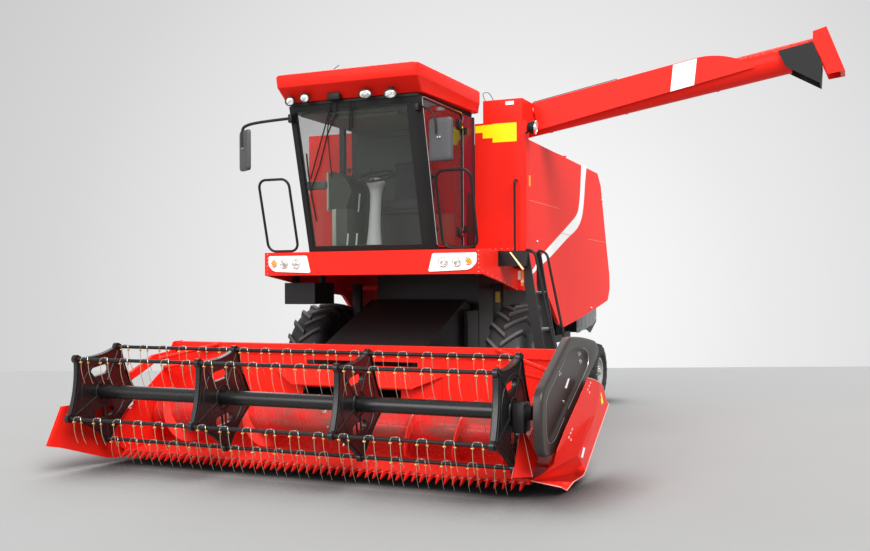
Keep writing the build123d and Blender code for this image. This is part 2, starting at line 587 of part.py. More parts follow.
CAB_FLOOR = DECK_TOP + SEAT
CAB_SILL = CAB_FLOOR + CAB_POST
CAB_HEAD = CAB_TOP - CAB_POST
cab_side = [(CAB_REAR, CAB_FLOOR), (lean_y(CAB_FLOOR), CAB_FLOOR), (lean_y(CAB_TOP), CAB_TOP), (CAB_REAR, CAB_TOP)]
with BuildPart() as cab_frame:
    add(plate(cab_side, Plane.YZ.offset(-CAB_HALF), 2 * CAB_HALF))
    block(-CAB_HALF + CAB_POST, CAB_HALF - CAB_POST, -1900, CAB_REAR - 40, CAB_SILL, CAB_HEAD, mode=Mode.SUBTRACT)
    doorway = [(DOOR_REAR, CAB_SILL), (lean_y(CAB_SILL) + CAB_POST, CAB_SILL), (lean_y(CAB_HEAD) + CAB_POST, CAB_HEAD),
               (DOOR_REAR, CAB_HEAD)]
    add(plate(doorway, Plane.YZ.offset(-CAB_HALF - 1), 2 * CAB_HALF + 2), mode=Mode.SUBTRACT)
    quarter = [(DOOR_REAR + CAB_POST, CAB_SILL), (CAB_REAR - CAB_POST, CAB_SILL), (CAB_REAR - CAB_POST, CAB_HEAD),
               (DOOR_REAR + CAB_POST, CAB_HEAD)]
    add(plate(quarter, Plane.YZ.offset(-CAB_HALF - 1), 2 * CAB_HALF + 2), mode=Mode.SUBTRACT)
    block(-450, 450, CAB_REAR - 50, CAB_REAR + 1, 2900, 3450, mode=Mode.SUBTRACT)
    for hinge_z in (2330, 3400):
        block(CAB_HALF, DOOR_HINGE_X + 8, DOOR_REAR + 36, DOOR_REAR + 56, hinge_z, hinge_z + 80)
        block(DOOR_HINGE_X - 8, DOOR_HINGE_X + 8, DOOR_REAR + 2, DOOR_REAR + 36, hinge_z, hinge_z + 9)
        rod((DOOR_HINGE_X, DOOR_REAR + 10, hinge_z), (DOOR_HINGE_X, DOOR_REAR + 10, hinge_z + 70), DOOR_HINGE_R)
cab_frame.part.label = "cab_frame"
export_step(cab_frame.part.moved(OVER_ORIGIN), "parts/cab_frame.step")

# Levels of the roof shell: height, half width, front, rear and corner radius.
ROOF_LEVELS = [
    (CAB_TOP + SEAT, ROOF_HALF - 40, ROOF_FRONT + 90, CAB_REAR - 5, 60),
    (CAB_TOP + 60, ROOF_HALF, ROOF_FRONT + 25, CAB_REAR, 80),
    (CAB_TOP + 135, ROOF_HALF, ROOF_FRONT, CAB_REAR, 90),
    (CAB_TOP + 205, ROOF_HALF - 60, ROOF_FRONT + 95, CAB_REAR - 50, 120),
    (ROOF_TOP, ROOF_HALF - 230, ROOF_FRONT + 420, CAB_REAR - 190, 160),
]
with BuildPart() as cab_roof:
    for level, roof_half, roof_front, roof_rear, corner in ROOF_LEVELS:
        with BuildSketch(Plane.XY.offset(level)):
            with Locations((0, (roof_front + roof_rear) / 2)):
                RectangleRounded(2 * roof_half, roof_rear - roof_front, corner)
    loft(ruled=True)
cab_roof.part.label = "cab_roof"
export_step(cab_roof.part.moved(OVER_ORIGIN), "parts/cab_roof.step")

with BuildPart() as cab_glass:
    pane = [(lean_y(CAB_SILL + 2) + 20, CAB_SILL + 2), (lean_y(CAB_SILL + 2) + 20 + GLASS, CAB_SILL + 2),
            (lean_y(CAB_HEAD - 2) + 20 + GLASS, CAB_HEAD - 2), (lean_y(CAB_HEAD - 2) + 20, CAB_HEAD - 2)]
    inside = CAB_HALF - CAB_POST - SEAT
    add(plate(pane, Plane.YZ.offset(-inside), 2 * inside))
    for opening in (doorway, quarter):
        add(plate(opening, Plane.YZ.offset(-CAB_HALF + 20), GLASS))
    add(plate(quarter, Plane.YZ.offset(CAB_HALF - 28), GLASS))
    block(-450, 450, CAB_REAR - 28, CAB_REAR - 20, 2900, 3450)
cab_glass.part.label = "cab_glass"
export_step(cab_glass.part.moved(OVER_ORIGIN), "parts/cab_glass.step")

DOOR_IN = CAB_HALF + 8
door_edge = [(DOOR_REAR, CAB_SILL - 30), (lean_y(CAB_SILL - 30) + 25, CAB_SILL - 30),
             (lean_y(CAB_HEAD + 30) + 25, CAB_HEAD + 30), (DOOR_REAR, CAB_HEAD + 30)]
door_hole = [(DOOR_REAR - 50, CAB_SILL + 20), (lean_y(CAB_SILL + 20) + 75, CAB_SILL + 20),
             (lean_y(CAB_HEAD - 20) + 75, CAB_HEAD - 20), (DOOR_REAR - 50, CAB_HEAD - 20)]
with BuildPart() as door_frame:
    add(plate(door_edge, Plane.YZ.offset(DOOR_IN), DOOR_T))
    add(plate(door_hole, Plane.YZ.offset(DOOR_IN), DOOR_T), mode=Mode.SUBTRACT)
    for hinge_z in (2345, 3415):
        rod((DOOR_HINGE_X, DOOR_REAR + 10, hinge_z), (DOOR_HINGE_X, DOOR_REAR + 10, hinge_z + 50), 18)
        block(DOOR_IN + DOOR_T - 10, DOOR_HINGE_X, DOOR_REAR - 40, DOOR_REAR + 8, hinge_z, hinge_z + 50)
        rod((DOOR_HINGE_X, DOOR_REAR + 10, hinge_z - 5), (DOOR_HINGE_X, DOOR_REAR + 10, hinge_z + 55),
            DOOR_HINGE_R + FIT, mode=Mode.SUBTRACT)
door_frame.part.label = "door_frame"
export_step(door_frame.part.moved(OVER_ORIGIN), "parts/door_frame.step")

with BuildPart() as door_glass:
    add(plate(door_hole, Plane.YZ.offset(DOOR_IN + 11), GLASS))
door_glass.part.label = "door_glass"
export_step(door_glass.part.moved(OVER_ORIGIN), "parts/door_glass.step")

with BuildPart() as seat_frame:
    block(-130, 330, -720, -420, CAB_SILL + SEAT, 2560)
    block(-170, 370, -800, -330, 2560, 2590)
seat_frame.part.label = "seat_frame"
export_step(seat_frame.part.moved(OVER_ORIGIN), "parts/seat_frame.step")

with BuildPart() as seat_cushions:
    block(-160, 360, -830, -440, 2590 + SEAT, 2710)
    block(-160, 360, -435, -320, 2590 + SEAT, 3180)
seat_cushions.part.label = "seat_cushions"
export_step(seat_cushions.part.moved(OVER_ORIGIN), "parts/seat_cushions.step")

with BuildPart() as steering_wheel:
    Torus(190, 15)
    Cylinder(42, 40)
    for turn in (30, 150, 270):
        rod((0, 0, 0), (190 * cos(radians(turn)), 190 * sin(radians(turn)), 0), 9)
with BuildPart() as steering_column:
    block(30, 170, -1190, -1050, CAB_SILL + SEAT, CAB_SILL + 40)
    rod((100, -1120, CAB_SILL + 20), (100, -1040, 2780), 60)
    rod((100, -1040, 2780), (100, -1025, 2830), 30)
    add(steering_wheel.part.moved(Location((100, -1022, 2850), (1, 0, 0), 14)))
steering_column.part.label = "steering_column"
export_step(steering_column.part.moved(OVER_ORIGIN), "parts/steering_column.step")

MIRROR_TURN = -35
with BuildPart() as mirrors:
    foot_low, foot_high = 3490, 3560
    foot = [(lean_y(foot_low) - SEAT, foot_low), (lean_y(foot_high) - SEAT, foot_high),
            (lean_y(foot_high) - 45, foot_high), (lean_y(foot_low) - 45, foot_low)]
    for face in (-CAB_HALF + 10, CAB_HALF - 50):
        add(plate(foot, Plane.YZ.offset(face), 40))
    rod((-CAB_HALF + 15, -1680, 3520), (-1300, -1690, 3490), 16)
    rod((-1300, -1690, 3490), (-1350, -1690, 3440), 16)
    with Locations(Location((-1295, -1690, 3215), (0, 0, 1), MIRROR_TURN)):
        Box(250, 40, 430)
    rod((CAB_HALF - 15, -1690, 3530), (960, -1715, 3480), 12)
    rod((960, -1715, 3480), (960, -1715, 3400), 12)
    block(845, 1095, -1735, -1695, 2980, 3420)
mirrors.part.label = "mirrors"
export_step(mirrors.part.moved(OVER_ORIGIN), "parts/mirrors.step")

with BuildPart() as work_lamps:
    for lamp_x in (-730, -560, 144, 430):
        rod((lamp_x, -1770, 3585), (lamp_x, -1715, 3585), 45)
        rod((lamp_x, -1742, 3620), (lamp_x, -1742, CAB_TOP), 8)
    rod((1480, -300, 3455), (1480, -230, 3455), 75)
    block(PANEL_X + SEAT, 1490, -245, -215, 3415, 3435)
work_lamps.part.label = "work_lamps"
export_step(work_lamps.part.moved(OVER_ORIGIN), "parts/work_lamps.step")

# ---------------------------------------------------------------- unloading auger
with BuildPart() as auger_turret:
    rod((SWING_X, SWING_Y, BODY_TOP + 700), (SWING_X, SWING_Y, SWING_Z - 190), TUBE_R)
    rod((SWING_X, SWING_Y, SWING_Z - 210), (SWING_X, SWING_Y, SWING_Z - 190), TUBE_R + 40)
    rod((SWING_X, SWING_Y, SWING_Z - 250), (SWING_X, SWING_Y, SWING_Z - 180), SPIGOT_R + FIT, mode=Mode.SUBTRACT)
    block(SWING_X - 100, TANK_HALF - PLATE - SEAT, SWING_Y - 100, SWING_Y + 100, BODY_TOP + 760, BODY_TOP + 860)
auger_turret.part.label = "auger_turret"
export_step(auger_turret.part.moved(OVER_ORIGIN), "parts/auger_turret.step")

tube_line = Plane(origin=(SWING_X, SWING_Y, SWING_Z), z_dir=(cos(radians(TUBE_SLOPE)), 0, sin(radians(TUBE_SLOPE))),
                  x_dir=(0, 1, 0))
FAIRING_Y = SWING_Y - TUBE_R - 18
HEAD_HALF = TUBE_R + 12
TUBE_WALL = 10
END_X = SWING_X + TUBE_LENGTH * cos(radians(TUBE_SLOPE))
END_Z = SWING_Z + TUBE_LENGTH * sin(radians(TUBE_SLOPE))


def from_end(*points):
    """Points of the head, given from the end of the tube's axis."""
    return [(END_X + out, END_Z + up) for out, up in points]


with BuildPart() as unload_tube:
    with Locations((SWING_X, SWING_Y, SWING_Z)):
        Sphere(TUBE_R + 12)
    with Locations(tube_line.location):
        Cylinder(TUBE_R, TUBE_LENGTH - 140, align=FROM_END)
    rod((SWING_X, SWING_Y, SWING_Z - 190 + PLAY), (SWING_X, SWING_Y, SWING_Z), TUBE_R)
    rod((SWING_X, SWING_Y, SWING_Z - 240), (SWING_X, SWING_Y, SWING_Z - 180), SPIGOT_R)
    # Head of the tube: a boxed end that carries the spout.
    head = from_end((-298, 32), (-298, 137), (-168, 175), (2, -288), (-158, -308), (-203, -193))
    add(plate(head, Plane.XZ.offset(-SWING_Y - HEAD_HALF), 2 * HEAD_HALF))
    head_inside = from_end((-286, 45), (-286, 125), (-180, 157), (-8, -393), (-142, -393), (-193, -183))
    head_side = Plane.XZ.offset(-SWING_Y - HEAD_HALF + TUBE_WALL)
    add(plate(head_inside, head_side, 2 * (HEAD_HALF - TUBE_WALL)), mode=Mode.SUBTRACT)
    with Locations(tube_line.offset(OUTLET_START).location):
        Cylinder(TUBE_R - TUBE_WALL, TUBE_LENGTH - OUTLET_START, align=FROM_END, mode=Mode.SUBTRACT)
    outlet = from_end((-508, -293), (-508, -133), (-268, -93), (-98, -93), (-98, -413), (-398, -413))
    add(plate(outlet, Plane.XZ.offset(-SWING_Y - TUBE_R + 45), 2 * TUBE_R - 90), mode=Mode.SUBTRACT)
    # Fairing in front of and over the tube, with its rounded upper end.
    fairing_top = [(1312, 3831), *from_end((-1444, -22))]
    fairing_nose, fairing_low, fairing_under = from_end((-1118, -46), (-855, -177), (-1469, -310))
    with BuildSketch(Plane.XZ.offset(-FAIRING_Y - SHEET)):
        with BuildLine():
            top_edge = Line(*fairing_top)
            nose = ThreePointArc(top_edge @ 1, fairing_nose, fairing_low)
            Polyline(nose @ 1, fairing_under, (1396, 3522), top_edge @ 0)
        make_face()
    extrude(amount=SHEET)
    flange = [*fairing_top, *[(x, z - SHEET) for x, z in reversed(fairing_top)]]
    add(plate(flange, Plane.XZ.offset(-SWING_Y), SWING_Y - FAIRING_Y))
    for bracket_x in (1500, 2200, 2900):
        centre_z = SWING_Z + (bracket_x - SWING_X) * TUBE_SLOPE_RATIO
        block(bracket_x - 20, bracket_x + 20, FAIRING_Y + SHEET, SWING_Y - TUBE_R + 10, centre_z - 30, centre_z + 30)
unload_tube.part.label = "unload_tube"
export_step(unload_tube.part.moved(OVER_ORIGIN), "parts/unload_tube.step")

SPOUT = from_end((-630, -33), (-302, 29), (-213, -193), (-226, -401), (-561, -201))
SPOUT_INSIDE = from_end((-613, -33), (-318, 29), (-230, -193), (-240, -493), (-598, -293))
with BuildPart() as unload_spout:
    spout_half = HEAD_HALF + 2 * SHEET
    add(plate(SPOUT, Plane.XZ.offset(-SWING_Y - spout_half), 2 * spout_half))
    spout_side = Plane.XZ.offset(-SWING_Y - spout_half + SHEET)
    add(plate(SPOUT_INSIDE, spout_side, 2 * (spout_half - SHEET)), mode=Mode.SUBTRACT)
    with Locations(tube_line.location):
        Cylinder(TUBE_R + SEAT, TUBE_LENGTH + 50, align=FROM_END, mode=Mode.SUBTRACT)
unload_spout.part.label = "unload_spout"
export_step(unload_spout.part.moved(OVER_ORIGIN), "parts/unload_spout.step")

# ---------------------------------------------------------------- feeder house and cutting table
FEEDER_FACE = TABLE_BACK + BEAM_DEPTH
feeder_side = [(FEEDER_FACE + SEAT, 330), (FEEDER_FACE + SEAT, 960), (FEEDER_Y + 10, FEEDER_Z + 220),
               (FEEDER_Y + 160, FEEDER_Z + 120), (FEEDER_Y + 200, FEEDER_Z - 60), (FEEDER_Y + 100, FEEDER_Z - 220)]
throat = [(FEEDER_FACE, 355), (FEEDER_FACE, 935), (FEEDER_Y - 350, FEEDER_Z - 10), (FEEDER_Y - 250, FEEDER_Z - 340)]
with BuildPart() as feeder_house:
    add(plate(feeder_side, Plane.YZ.offset(-FEEDER_HALF), 2 * FEEDER_HALF))
    add(plate(throat, Plane.YZ.offset(-MOUTH_HALF), 2 * MOUTH_HALF), mode=Mode.SUBTRACT)
    for side in (-1, 1):
        rod((side * (FEEDER_HALF - 45), FEEDER_Y, FEEDER_Z), (side * (FEEDER_HALF + 5), FEEDER_Y, FEEDER_Z),
            FEEDER_PIN_R + FIT, mode=Mode.SUBTRACT)
        for ear in (-1, 1):
            middle = side * RAM_X + ear * 42
            block(middle - 10, middle + 10, RAM_EYE[0] - 45, RAM_EYE[0] + 45, RAM_EYE[1] - 45, RAM_EYE[1] + 190)
        rod((side * RAM_X - 52, *RAM_EYE), (side * RAM_X + 52, *RAM_EYE), RAM_PIN_R)
feeder_house.part.label = "feeder_house"
export_step(feeder_house.part.moved(OVER_ORIGIN), "parts/feeder_house.step")

TROUGH_R = AUGER_FLIGHT_R + 22
BEAM_TOP = BEAM_Z + BEAM / 2
BEAM_LOW = BEAM_Z - BEAM / 2
BEAM_PROUD = 26
FOOT_BEAM = (240, 330)
WALL_FRONT = KNIFE_Y - 60
with BuildPart() as header_frame:
    back = TABLE_BACK
    with BuildSketch(Plane.YZ.offset(-TABLE_HALF)):
        with BuildLine():
            Line((KNIFE_Y + 40, KNIFE_Z - 20), (AUGER_Y, AUGER_Z - TROUGH_R))
            CenterArc((AUGER_Y, AUGER_Z), TROUGH_R, -90, 90)
            Polyline((back, AUGER_Z), (back, BEAM_LOW), (back + SHEET, BEAM_LOW), (back + SHEET, AUGER_Z))
            CenterArc((AUGER_Y, AUGER_Z), TROUGH_R + SHEET, 0, -90)
            Polyline((AUGER_Y, AUGER_Z - TROUGH_R - SHEET), (KNIFE_Y + 40, KNIFE_Z - 20 - SHEET),
                     (KNIFE_Y + 40, KNIFE_Z - 20))
        make_face()
    extrude(amount=2 * TABLE_HALF)
    block(-MOUTH_HALF, MOUTH_HALF, back - 40, back + SHEET + 1, MOUTH_BOTTOM, MOUTH_TOP, mode=Mode.SUBTRACT)
    block(-510, 740, back - 1, back + SHEET + 1, 965, 1012, mode=Mode.SUBTRACT)
    # Deflector over the feeder's mouth: a trapezoid that leans towards the auger.
    deflector_top = [(x, back - 4, 905) for x in (-900, 1060)]
    deflector_low = [(x, back - 90, 765) for x in (720, -640)]
    deflector = Face(Wire.make_polygon([Vector(*corner) for corner in deflector_top + deflector_low]))
    add(extrude(deflector, amount=SHEET, dir=(0, 1, 0)))
    block(-640, 720, back - 85, back + 2, 757, 765)
    block(-TABLE_HALF, TABLE_HALF, back - BEAM_PROUD, back + BEAM_DEPTH, BEAM_LOW, BEAM_TOP)
    block(-TABLE_HALF, TABLE_HALF, back + SHEET, back + BEAM_DEPTH, *FOOT_BEAM)
    for side in (-1, 1):
        for post in (900, 1500, TABLE_HALF - 40):
            block(side * post - 40, side * post + 40, back + SHEET, back + BEAM_DEPTH, FOOT_BEAM[1], BEAM_LOW)
        face = TABLE_HALF if side > 0 else -TABLE_HALF - SHEET
        with BuildSketch(Plane.YZ.offset(face)):
            with BuildLine():
                low_edge = Polyline((back + BEAM_DEPTH, BEAM_TOP), (back + BEAM_DEPTH, 90), (KNIFE_Y + 40, 90),
                                    (WALL_FRONT, 150), (WALL_FRONT, 380))
                brow = ThreePointArc(low_edge @ 1, (KNIFE_Y + 130, 560), (AUGER_Y - 45, 800))
                Polyline(brow @ 1, (back - 160, 925), (back - 60, BEAM_TOP), low_edge @ 0)
            make_face()
        extrude(amount=SHEET)
        arm_face = ARM_X - ARM_T / 2
        rod((side * TABLE_HALF, AUGER_Y, AUGER_Z), (side * (TABLE_HALF - 40), AUGER_Y, AUGER_Z), 45)
        rod((side * (TABLE_HALF + 20), AUGER_Y, AUGER_Z), (side * (TABLE_HALF - 45), AUGER_Y, AUGER_Z),
            AUGER_SHAFT_R + FIT, mode=Mode.SUBTRACT)
        stub = sorted((side * (arm_face - PLAY), side * (TABLE_HALF - 40)))
        block(*stub, back + 20, back + BEAM_DEPTH, BEAM_LOW + 25, BEAM_TOP)
        ears = sorted((side * (arm_face - 2), side * (arm_face - 22)))
        block(*ears, ARM_PIVOT_Y - 40, ARM_PIVOT_Y + 40, ARM_PIVOT_Z - 40, ARM_PIVOT_Z + 40)
        rod((side * (arm_face - 10), ARM_PIVOT_Y, ARM_PIVOT_Z), (side * (ARM_X + ARM_T / 2 + 5), ARM_PIVOT_Y, ARM_PIVOT_Z),
            ARM_PIN_R)
header_frame.part.label = "header_frame"
export_step(header_frame.part.moved(OVER_ORIGIN), "parts/header_frame.step")

with BuildPart() as cutterbar:
    block(-TABLE_HALF, TABLE_HALF, KNIFE_Y - 20, KNIFE_Y + 40 - SEAT, KNIFE_Z - 30, KNIFE_Z - 5)
    with BuildSketch(Plane.XY.offset(KNIFE_Z - 25)):
        with Locations((0, KNIFE_Y - 57)):
            with GridLocations(GUARD_PITCH, 1, int(GUARDS), 1):
                Trapezoid(38, 115, 81.5, rotation=180)
    extrude(amount=38)
cutterbar.part.label = "cutterbar"
export_step(cutterbar.part.moved(OVER_ORIGIN), "parts/cutterbar.step")

SHIELD_X = TABLE_HALF + 350
SHIELD_TOP = [(-1210, 627), (-1420, 800), (-1940, 930), (-2440, 640)]
SHIELD_FOLD = (-2270, 290)
SHIELD_LOW = [(-2150, 120), (-2470, 112), (-2560, 56)]
DIVIDER_SPREAD = 0.155
DIVIDER_T = 14


def spread_x(y):
    """Inner face of the right divider, which opens outward towards its nose."""
    return -(TABLE_HALF + SHEET + SEAT) + DIVIDER_SPREAD * (y - (KNIFE_Y + 177))


with BuildPart() as dividers:
    wall = TABLE_HALF + SHEET + SEAT
    # Right divider: a sheet from the end wall out to an upright nose, with a folded front edge.
    right_side = [(-2400, 95), (-2400, 470), (-2560, 560), (-2960, 640), (-3290, 632), (-3452, 275), (-3290, 235),
                  (-2773, 62), (-2663, 45), (-2480, 60)]
    add(sheet_facet([(spread_x(y), y, z) for y, z in right_side], DIVIDER_T))
    nose = [(-3290, 632), (-3452, 275), (-3405, 262), (-3252, 622)]
    add(sheet_facet([(spread_x(y), y, z) for y, z in nose], DIVIDER_T + 16))
    block(-wall - DIVIDER_T, -wall, KNIFE_Y + 140, KNIFE_Y + 180, 120, 600)
    # Upright fin that parts the crop at the left end.
    fin_rear = KNIFE_Y - 60 - SEAT
    fin = [(fin_rear, 160), (fin_rear, 350), (-2883, 633), (-3102, 259)]
    add(plate(fin, Plane.YZ.offset(wall - 4), 30))
    # Left shield: flat facets of a folded sheet outside the belt guard.
    tip = (wall + SHEET, KNIFE_Y - 40, 130)
    side_facet = [(SHIELD_X, y, z) for y, z in [*SHIELD_TOP, SHIELD_FOLD, SHIELD_LOW[0]]]
    low = [(SHIELD_X - 12 * place, y, z) for place, (y, z) in enumerate(SHIELD_LOW)]
    fold = side_facet[-2]
    add(sheet_facet(side_facet, SHEET))
    add(sheet_facet([side_facet[3], fold, tip], SHEET))
    for near, far in ((fold, low[0]), (low[0], low[1]), (low[1], low[2])):
        add(sheet_facet([tip, near, far], SHEET))
    block(wall, SHIELD_X - SHEET / 2, -2120, -2080, 150, 180)
    block(wall, SHIELD_X - SHEET / 2, -1700, -1660, 560, 590)
dividers.part.label = "dividers"
export_step(dividers.part.moved(OVER_ORIGIN), "parts/dividers.step")

ram_length = (Vector(0, *RAM_EYE) - Vector(0, *RAM_FOOT)).length
ram_way = (Vector(0, *RAM_EYE) - Vector(0, *RAM_FOOT)).normalized()
with BuildPart() as lift_barrels:
    for side in (-1, 1):
        foot = Vector(side * RAM_X, *RAM_FOOT)
        rod(tuple(foot), tuple(foot + ram_way * RAM_BARREL), RAM_R)
        rod((side * RAM_X - 26, *RAM_FOOT), (side * RAM_X + 26, *RAM_FOOT), 38)
        for cheek in (-38, 38):
            middle = side * RAM_X + cheek
            block(middle - 12, middle + 12, RAM_FOOT[0] - 60, RAM_FOOT[0] + 60, RAM_FOOT[1] - 60, RAM_FOOT[1] + 60,
                  mode=Mode.SUBTRACT)
        rod((side * RAM_X - 60, *RAM_FOOT), (side * RAM_X + 60, *RAM_FOOT), RAM_PIN_R + FIT, mode=Mode.SUBTRACT)
        rod(tuple(foot + ram_way * 380), tuple(foot + ram_way * (RAM_BARREL + 5)), RAM_ROD_R + SEAT, mode=Mode.SUBTRACT)
lift_barrels.part.label = "lift_barrels"
export_step(lift_barrels.part.moved(OVER_ORIGIN), "parts/lift_barrels.step")

with BuildPart() as lift_rods:
    for side in (-1, 1):
        foot = Vector(side * RAM_X, *RAM_FOOT)
        rod(tuple(foot + ram_way * 400), tuple(foot + ram_way * ram_length), RAM_ROD_R)
        rod((side * RAM_X - 26, *RAM_EYE), (side * RAM_X + 26, *RAM_EYE), RAM_PIN_R + RAM_DRIFT + 14)
        rod((side * RAM_X - 40, *RAM_EYE), (side * RAM_X + 40, *RAM_EYE), RAM_PIN_R + RAM_DRIFT, mode=Mode.SUBTRACT)
lift_rods.part.label = "lift_rods"
export_step(lift_rods.part.moved(OVER_ORIGIN), "parts/lift_rods.step")


def flight(hand, start_x, length):
    """Sheet-metal screw, built of straight-sided pieces from one section to the next."""
    steps_per_turn = 12
    steps = round(length / AUGER_PITCH * steps_per_turn)
    with BuildPart() as screw:
        for step in range(steps + 1):
            turn = 2 * pi * step / steps_per_turn
            out = Vector(0, cos(turn), sin(turn))
            middle = Vector(start_x + hand * length * step / steps, AUGER_Y, AUGER_Z)
            along = out.cross(Vector(1, 0, 0))
            with BuildSketch(Plane(origin=middle, x_dir=out, z_dir=along)):
                with Locations(((AUGER_TUBE_R - 6 + AUGER_FLIGHT_R) / 2, 0)):
                    Rectangle(AUGER_FLIGHT_R - AUGER_TUBE_R + 6, SHEET)
        loft(ruled=True)
    return screw.part


FLIGHT_START = TABLE_HALF - 60
FLIGHT_LENGTH = TABLE_HALF - 710
with BuildPart() as header_auger:
    rod((-TABLE_HALF + 40 + PLAY, AUGER_Y, AUGER_Z), (TABLE_HALF - 40 - PLAY, AUGER_Y, AUGER_Z), AUGER_TUBE_R)
    rod((-TABLE_HALF - 5, AUGER_Y, AUGER_Z), (TABLE_HALF + 5, AUGER_Y, AUGER_Z), AUGER_SHAFT_R)
    add(flight(-1, FLIGHT_START, FLIGHT_LENGTH))
    add(flight(1, -FLIGHT_START, FLIGHT_LENGTH))
    for number in range(8):
        turn = radians(45 * number)
        x = -420 + 120 * number
        rod((x, AUGER_Y, AUGER_Z), (x, AUGER_Y + 270 * cos(turn), AUGER_Z + 270 * sin(turn)), 9)
header_auger.part.label = "header_auger"
export_step(header_auger.part.moved(OVER_ORIGIN), "parts/header_auger.step")

# ---------------------------------------------------------------- reel
with BuildPart() as reel_arms:
    for side in (-1, 1):
        # Sloping arm with the reel's bearing block on top of its front end.
        arm = [(ARM_PIVOT_Y + 45, ARM_PIVOT_Z + 40), (ARM_PIVOT_Y + 45, ARM_PIVOT_Z - 45), (REEL_Y - 65, REEL_Z - 150),
               (REEL_Y - 65, REEL_Z + 60), (REEL_Y + 70, REEL_Z + 60), (REEL_Y + 78, REEL_Z - 45)]
        face = ARM_X - ARM_T / 2 if side > 0 else -ARM_X - ARM_T / 2
        add(plate(arm, Plane.YZ.offset(face), ARM_T))
        for centre, shaft in (((ARM_PIVOT_Y, ARM_PIVOT_Z), ARM_PIN_R), ((REEL_Y, REEL_Z), REEL_SHAFT_R)):
            rod((side * (ARM_X - 60), *centre), (side * (ARM_X + 60), *centre), shaft + FIT, mode=Mode.SUBTRACT)
reel_arms.part.label = "reel_arms"
export_step(reel_arms.part.moved(OVER_ORIGIN), "parts/reel_arms.step")

GUARD_X = ARM_X + 160
GUARD_T = 70
GUARD_OUTLINE = [(-3200, 890), (-2640, 1268), (-2340, 1312), (-1310, 1235), (-1270, 1110), (-1740, 885), (-2950, 385),
                 (-3090, 400), (-3200, 540)]
GUARD_RECESS = [(-3070, 730), (-2920, 945), (-2380, 1205), (-1900, 1190), (-1700, 1120), (-2060, 885), (-2780, 515),
                (-3030, 540)]
with BuildPart() as belt_guard:
    add(rounded_outline(GUARD_OUTLINE, 75, Plane.YZ.offset(GUARD_X), GUARD_T))
    add(rounded_outline(GUARD_RECESS, 60, Plane.YZ.offset(GUARD_X + GUARD_T - 28), 30), mode=Mode.SUBTRACT)
    for strap_y, strap_z in ((REEL_Y + 90, REEL_Z - 75), (ARM_PIVOT_Y - 185, ARM_PIVOT_Z - 80)):
        block(ARM_X + ARM_T / 2 + SEAT, GUARD_X, strap_y - 35, strap_y + 35, strap_z - 25, strap_z + 25)
belt_guard.part.label = "belt_guard"
export_step(belt_guard.part.moved(OVER_ORIGIN), "parts/belt_guard.step")

SPIDER_X = [-REEL_HALF, -REEL_HALF / 3, REEL_HALF / 3, REEL_HALF]
SPIDER_WAIST = 362
SPIDER_HOLE = 225


def reel_place(radius, turn):
    """Point of the reel's own round, from its axle."""
    angle = radians(FIRST_BAR + 360 / BARS * turn)
    return (radius * cos(angle), radius * sin(angle))


with BuildPart() as spider:
    with BuildSketch(Plane.YZ.offset(-SPIDER_T / 2)):
        with BuildLine():
            for turn in range(BARS):
                ThreePointArc(reel_place(REEL_BAR_R + 20, turn), reel_place(SPIDER_WAIST, turn + 0.5),
                              reel_place(REEL_BAR_R + 20, turn + 1))
        make_face()
        with Locations(*[reel_place(REEL_BAR_R, turn) for turn in range(BARS)]):
            Circle(40)
            Circle(BAR_R + FIT, mode=Mode.SUBTRACT)
        for hole in (1.5, 4):
            slot_ends = [reel_place(SPIDER_HOLE, hole + end) for end in (-0.3, 0.3)]
            SlotCenterPoint(((slot_ends[0][0] + slot_ends[1][0]) / 2, (slot_ends[0][1] + slot_ends[1][1]) / 2),
                            slot_ends[0], 90, mode=Mode.SUBTRACT)
    extrude(amount=SPIDER_T)
with BuildPart() as reel_core:
    rod((-REEL_HALF - 30, REEL_Y, REEL_Z), (REEL_HALF + 30, REEL_Y, REEL_Z), REEL_TUBE_R)
    rod((-ARM_X - 30, REEL_Y, REEL_Z), (ARM_X + 30, REEL_Y, REEL_Z), REEL_SHAFT_R)
    for spider_x in SPIDER_X:
        add(spider.part.moved(Location((spider_x, REEL_Y, REEL_Z))))
reel_core.part.label = "reel_core"
export_step(reel_core.part.moved(OVER_ORIGIN), "parts/reel_core.step")

CLIP_PITCH = 2 * REEL_HALF / 3 / CLIPS_PER_BAY
TINE_X = [
    (clip - 1.5 * CLIPS_PER_BAY + 0.5) * CLIP_PITCH + pair * TINE_PAIR / 2
    for clip in range(3 * CLIPS_PER_BAY) for pair in (-1, 1)
]
with BuildPart() as tine_bar:
    rod((-BAR_END, 0, 0), (BAR_END, 0, 0), BAR_R)
    with Locations(*[(x, -BAR_R - TINE_W / 2 + 1, -TINE / 2) for x in TINE_X]):
        Box(TINE_W, TINE_W, TINE)
    clip_places = [(x - TINE_PAIR / 2, -4, -5) for x in TINE_X[1::2]]
    with Locations(*clip_places):
        Box(TINE_PAIR + 16, 2 * BAR_R + 14, 2 * BAR_R - 6)
for turn in range(BARS):
    y, z = reel_place(REEL_BAR_R, turn)
    bar = tine_bar.part.moved(Location((0, REEL_Y + y, REEL_Z + z)))
    bar.label = f"tine_bar_{turn + 1}"
    export_step(bar.moved(OVER_ORIGIN), f"parts/tine_bar_{turn + 1}.step")
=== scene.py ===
"""Visual model of the grain combine harvester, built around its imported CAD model."""

import json
from math import cos, radians, sin, tau

import bmesh
import bpy
from mathutils import Matrix, Vector


